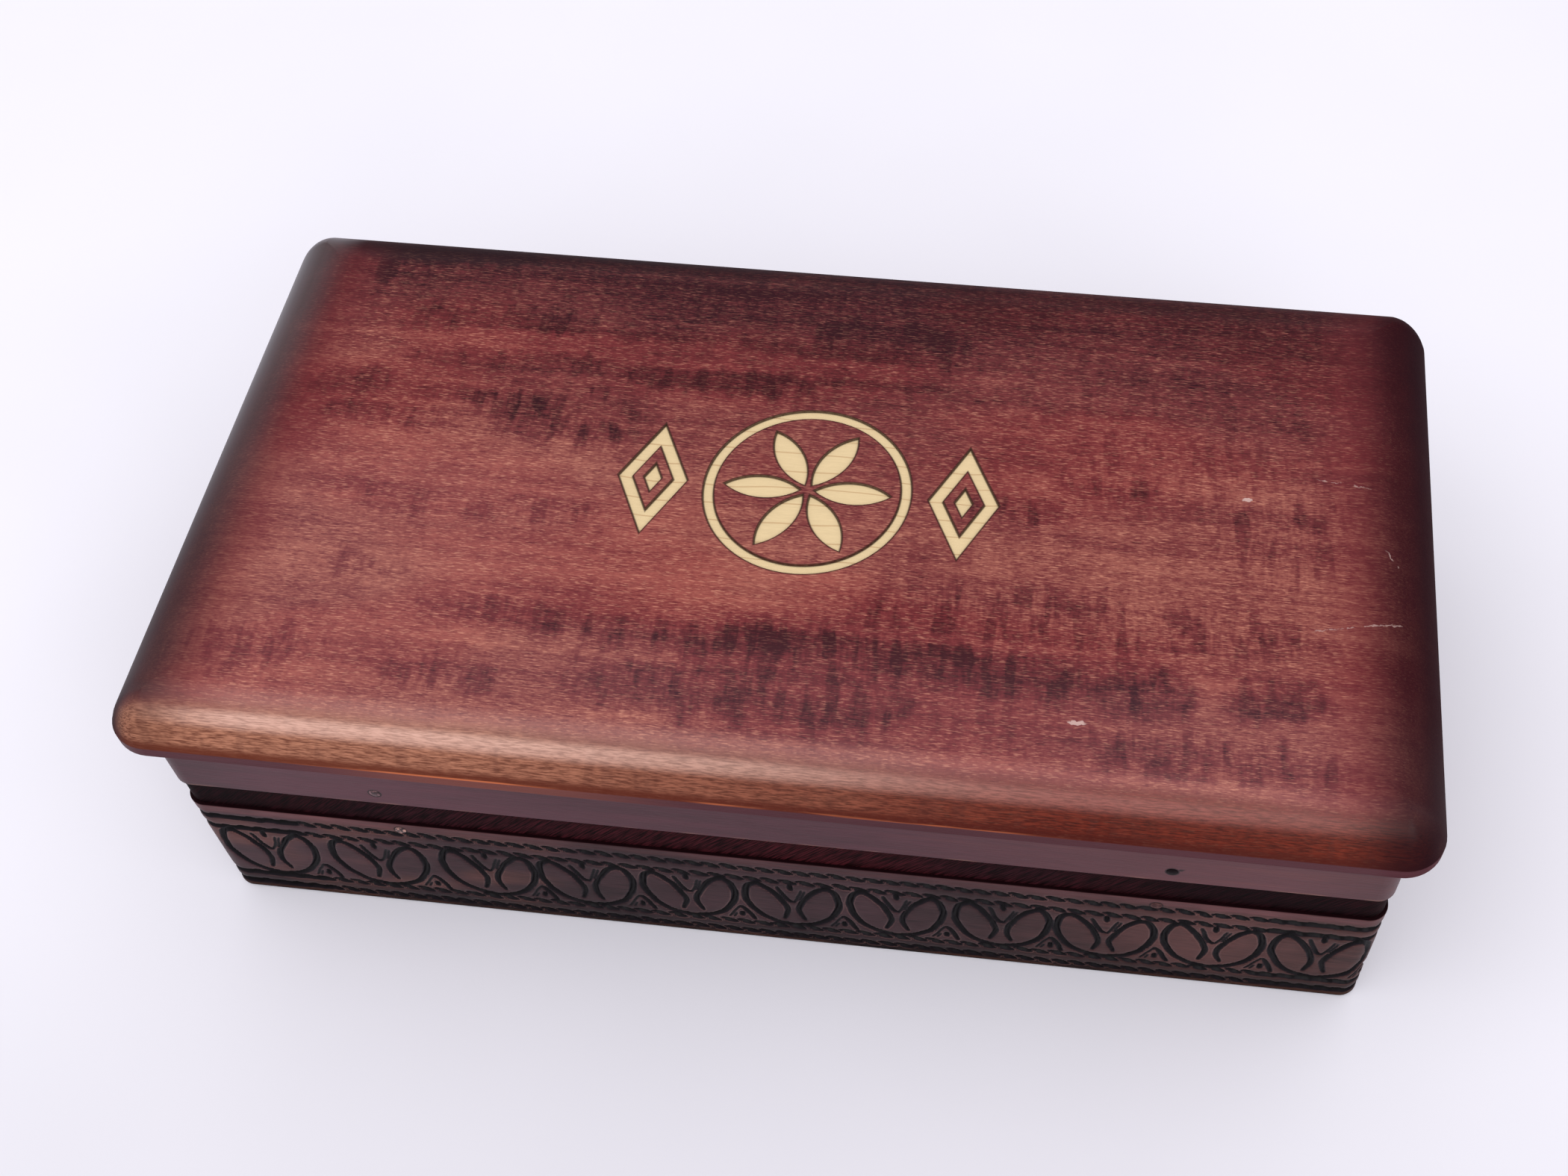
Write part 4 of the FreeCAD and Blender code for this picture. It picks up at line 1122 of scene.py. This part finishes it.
def carve_wall(name, tree, carving, wood, turn, long_side):
    """Carve one wall, turn it to its side of the box and let it stand for the plain one."""
    piece = bpy.data.objects.new(name + "_carved", motif_mesh(name + "_motif"))
    bpy.context.scene.collection.objects.link(piece)
    if long_side:
        flat = HALF_LENGTH - CORNER_RADIUS
        reach = flat + CORNER_RADIUS * math.pi / 2 + HALF_WIDTH - CORNER_RADIUS - END_WALL_REACH
        face, count = HALF_WIDTH, carving.long_motifs
        upper = mirrored([(INNER_HALF_LENGTH, -END_WALL_REACH), (INNER_HALF_LENGTH, -INNER_HALF_WIDTH)])
        lower = mirrored([(REBATE_HALF_LENGTH, -END_WALL_REACH), (REBATE_HALF_LENGTH, -REBATE_HALF_WIDTH)])
    else:
        flat = reach = END_WALL_REACH
        face, count = HALF_LENGTH, carving.end_motifs
        upper = mirrored([(END_WALL_REACH, -INNER_HALF_LENGTH)])
        lower = mirrored([(END_WALL_REACH, -REBATE_HALF_LENGTH)])
    values = {item.name: getattr(carving, item.identifier) for item in own_settings(carving)}
    values |= {
        "Strip Length": 2 * reach,
        "Wall Height": WALL_TOP,
        "Motif Count": count,
        "Flat Half Length": flat,
        "Corner Radius": CORNER_RADIUS,
        "Face Distance": face,
        "Seed": carving.seed + turn,
        "Wood": wood,
    }
    if not long_side:
        values |= {"Motif Shift": 0.0, "Stretch": 0.0}
    run_tree(piece, tree, values)
    close_board(piece.data, upper, lower)
    piece.data.transform(Matrix.Rotation(math.radians(turn), 4, "Z"))
    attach(piece, "box")
    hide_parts(name)
    return piece


def mirrored(points):
    """Continue a plan outline with its mirror image across the middle of the wall."""
    return points + [(-x, y) for x, y in reversed(points)]


# ------------------------------------------------------------------ pins


PIN_FACETS = 28
PIN_INPUTS = (("Spacing", "NodeSocketFloat"), ("Seed", "NodeSocketInt"), ("Wood", "NodeSocketMaterial"))


def pin_tree():
    """Set one pin at both places of a pair, each turned a little differently."""
    tree, bench, given = start_tree("driven_pins", "Pin", PIN_INPUTS, "Pins")
    spacing = given["Spacing"]
    pins = bench.node("GeometryNodeInstanceOnPoints", None, {
        "Points": points_in_row(bench, 2, (spacing * -0.5, 0.0, 0.0), (spacing, 0.0, 0.0)),
        "Instance": given["Pin"],
        "Rotation": slip(bench, given["Seed"], (0, -3.0, 0), (0, 3.0, 0)),
    })
    close_tree(bench, pins, given["Wood"])
    return tree


def pin_mesh(name, length, proud):
    """Make one pin along +Y: its head at Y 0 is a low dome that stands proud, and its tail is bevelled."""
    radius, bevel = PIN_RADIUS - 0.03 * MM, 0.2 * MM
    rings = (
        (radius * 0.45, -proud * 0.8), (radius * 0.8, -proud * 0.35), (radius, 0.0), (radius, 0.3 * MM),
        (radius, length - bevel), (radius - bevel, length),
    )
    places, faces = [(0.0, -proud, 0.0), (0.0, length, 0.0)], []
    for across, depth in rings:
        for step in range(PIN_FACETS):
            turn = math.tau * step / PIN_FACETS
            places.append((across * math.cos(turn), depth, across * math.sin(turn)))
    for step in range(PIN_FACETS):
        here = range(2 + step, len(places), PIN_FACETS)
        beside = range(2 + (step + 1) % PIN_FACETS, len(places), PIN_FACETS)
        faces.append((0, here[0], beside[0]))
        faces += zip(here, here[1:], beside[1:], beside)
        faces.append((1, beside[-1], here[-1]))
    mesh = bpy.data.meshes.new(name)
    mesh.from_pydata(places, [], faces)
    mesh.shade_smooth()
    return mesh


# ------------------------------------------------------------------ operators


class KEEPSAKE_OT_carve_walls(bpy.types.Operator):
    """Carve the frieze into all four walls"""

    bl_idname = "keepsake.carve_walls"
    bl_label = "Carve Walls"

    def execute(self, context):
        carving = context.scene.keepsake_carving
        wood = carved_finish(context.scene.keepsake_finish)
        tree = carving_tree()
        for name, turn, long_side in WALLS:
            carve_wall(name, tree, carving, wood, turn, long_side)
        return {"FINISHED"}


WALLS = (
    ("front_wall", 0, True),
    ("right_end_wall", 90, False),
    ("back_wall", 180, True),
    ("left_end_wall", 270, False),
)


class KEEPSAKE_OT_drive_pins(bpy.types.Operator):
    """Drive the wooden pins through walls, rails, frame and runners"""

    bl_idname = "keepsake.drive_pins"
    bl_label = "Drive Pins"

    def execute(self, context):
        wood = pin_finish()
        tree = pin_tree()
        for index, (node, body, proud) in enumerate(PIN_PAIRS):
            low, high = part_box(node)
            piece = bpy.data.objects.new(node + "_driven", pin_mesh(node, high.y - low.y, proud))
            context.scene.collection.objects.link(piece)
            spacing = high.x - low.x - 2 * PIN_RADIUS
            run_tree(piece, tree, {"Spacing": spacing, "Seed": index, "Wood": wood})
            front = low.y < 0
            turn = Matrix.Identity(4) if front else Matrix.Rotation(math.pi, 4, "Z")
            place = Vector((0, low.y if front else high.y, (low.z + high.z) / 2))
            piece.data.transform(Matrix.Translation(place) @ turn)
            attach(piece, body)
            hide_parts(node)
        return {"FINISHED"}


PIN_PAIRS = (
    ("front_wall_pins", "box", 0.12 * MM),
    ("back_wall_pins", "box", 0.12 * MM),
    ("front_frame_pins", "lid", 0.22 * MM),
    ("back_frame_pins", "lid", 0.22 * MM),
)


def finish_nodes(names, material):
    """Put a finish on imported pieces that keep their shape."""
    for name in names:
        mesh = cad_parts[name].data
        mesh.materials.clear()
        mesh.materials.append(material)


class KEEPSAKE_OT_polish_lid(bpy.types.Operator):
    """Stain and polish the lid board, and bare its ornament"""

    bl_idname = "keepsake.polish_lid"
    bl_label = "Polish Lid"

    def execute(self, context):
        finish_nodes(["lid_board"], lid_finish(context.scene.keepsake_finish))
        return {"FINISHED"}


class KEEPSAKE_OT_stain_frame(bpy.types.Operator):
    """Stain the four boards of the frame under the lid"""

    bl_idname = "keepsake.stain_frame"
    bl_label = "Stain Frame"

    def execute(self, context):
        names = ["front_frame", "back_frame", "left_end_frame", "right_end_frame"]
        finish_nodes(names, plum_finish(context.scene.keepsake_finish))
        return {"FINISHED"}


class KEEPSAKE_OT_stain_rails(bpy.types.Operator):
    """Stain the rails on the walls and the runners that slide in them"""

    bl_idname = "keepsake.stain_rails"
    bl_label = "Stain Rails"

    def execute(self, context):
        names = ["front_rail", "back_rail", "left_end_rail", "right_end_rail", "front_runner", "back_runner"]
        finish_nodes(names, rail_finish(context.scene.keepsake_finish))
        return {"FINISHED"}


class KEEPSAKE_OT_lay_bottom(bpy.types.Operator):
    """Leave the bottom board bare"""

    bl_idname = "keepsake.lay_bottom"
    bl_label = "Lay Bottom"

    def execute(self, context):
        finish_nodes(["bottom_board"], bottom_finish(context.scene.keepsake_finish))
        return {"FINISHED"}


# ------------------------------------------------------------------ stage

CAMERA_PLACE = (0.0631, -0.2802, 0.4388)
CAMERA_TURN = (34.526, 0.751, 6.736)
AXIS_IN_PICTURE = (1222.7, 863.2)
FLOOR_HALF_SIZE = 4.0
SKY = (0.98, 0.97, 1.0, 1.0)
LAMP_AIM = (0, 0, 0.05)
# Each lamp's name, its place, its width and height, and the setting that holds its power.
LAMPS = (
    ("key_lamp", (-0.42, -0.40, 1.12), (1.1, 0.6), "key_power"),
    ("fill_lamp", (0.55, -0.95, 0.75), (0.7, 0.7), "fill_power"),
)


def stage_finish(name, colour):
    """Pale paper, a little uneven, with painted light falloff: darker towards the front, lighter towards the
    back and the left.
    """
    material, bench, place, (x, y, _) = new_finish(name)
    paper = bench.noise(place, 0.01, 2.0)
    # painted light falloff: darker towards the front, lighter nearer the box's back and left
    pale = 0.84 + 0.05 * paper + 0.09 * bench.ease(y, -170, -70) + 0.04 * bench.ease(y - 0.5 * x, -100, 160)
    settle(bench, bench.shade(colour, pale), 0.9, 0.1)
    return material


def add_lamp(name, place, size, power):
    """Hang a soft rectangular lamp that points at the box."""
    lamp = bpy.data.lights.new(name, "AREA")
    lamp.shape = "RECTANGLE"
    lamp.size, lamp.size_y = size
    lamp.energy = power
    holder = bpy.data.objects.new(name, lamp)
    holder.location = place
    holder.rotation_euler = (Vector(LAMP_AIM) - Vector(place)).to_track_quat("-Z", "Y").to_euler()
    bpy.context.scene.collection.objects.link(holder)


def add_floor(colour):
    """Lay the pale floor, which is its own backdrop."""
    floor = bpy.data.meshes.new("floor")
    bm = bmesh.new()
    bmesh.ops.create_grid(bm, x_segments=1, y_segments=1, size=FLOOR_HALF_SIZE)
    bm.to_mesh(floor)
    bm.free()
    ground = bpy.data.objects.new("floor", floor)
    bpy.context.scene.collection.objects.link(ground)
    floor.materials.append(stage_finish("pale_floor", colour))


def add_camera(lens):
    """Stand the camera where it sees the box from the front and above."""
    camera = bpy.data.cameras.new("camera")
    camera.sensor_width = 36
    camera.lens = lens
    camera.clip_start = 0.01
    width, height = PICTURE
    camera.shift_x = (width / 2 - AXIS_IN_PICTURE[0]) / width
    camera.shift_y = (AXIS_IN_PICTURE[1] - height / 2) / width
    holder = bpy.data.objects.new("camera", camera)
    holder.location = CAMERA_PLACE
    holder.rotation_euler = [math.radians(angle) for angle in CAMERA_TURN]
    bpy.context.scene.collection.objects.link(holder)
    bpy.context.scene.camera = holder


class KEEPSAKE_OT_set_stage(bpy.types.Operator):
    """Set the floor, backdrop, lamps and camera"""

    bl_idname = "keepsake.set_stage"
    bl_label = "Set Stage"

    def execute(self, context):
        scene, stage = context.scene, context.scene.keepsake_stage
        scene.view_settings.view_transform = "Standard"
        add_floor(stage.floor)
        world = bpy.data.worlds.new("studio")
        world.use_nodes = True
        scene.world = world
        sky = world.node_tree.nodes["Background"]
        sky.inputs["Color"].default_value = SKY
        sky.inputs["Strength"].default_value = stage.daylight
        for name, place, size, power in LAMPS:
            add_lamp(name, place, size, getattr(stage, power))
        add_camera(stage.lens)
        return {"FINISHED"}


class KEEPSAKE_PT_workshop(bpy.types.Panel):
    """The steps of making the box, in order"""

    bl_label = "Keepsake Box"
    bl_space_type = "VIEW_3D"
    bl_region_type = "UI"
    bl_category = "Keepsake Box"

    def draw(self, context):
        for step in STEPS:
            self.layout.operator(step.bl_idname)
        for group, _ in SETTINGS:
            settings = getattr(context.scene, group)
            for item in own_settings(settings):
                self.layout.prop(settings, item.identifier)


STEPS = (
    KEEPSAKE_OT_set_stage,
    KEEPSAKE_OT_carve_walls,
    KEEPSAKE_OT_lay_bottom,
    KEEPSAKE_OT_stain_rails,
    KEEPSAKE_OT_stain_frame,
    KEEPSAKE_OT_polish_lid,
    KEEPSAKE_OT_drive_pins,
)
SETTINGS = (
    ("keepsake_carving", CarvingSettings),
    ("keepsake_finish", FinishSettings),
    ("keepsake_stage", StageSettings),
)


def register():
    """Register the settings, the steps and the panel."""
    for name, group in SETTINGS:
        bpy.utils.register_class(group)
        setattr(bpy.types.Scene, name, PointerProperty(type=group))
    for item in (*STEPS, KEEPSAKE_PT_workshop):
        bpy.utils.register_class(item)


def unregister():
    """Take them away again."""
    for item in reversed((*STEPS, KEEPSAKE_PT_workshop)):
        bpy.utils.unregister_class(item)
    for name, group in reversed(SETTINGS):
        delattr(bpy.types.Scene, name)
        bpy.utils.unregister_class(group)


def main():
    """Make the whole box, one step after another."""
    register()
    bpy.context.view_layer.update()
    for step in STEPS:
        group, name = step.bl_idname.split(".")
        getattr(getattr(bpy.ops, group), name)()


if __name__ == "__main__":
    main()
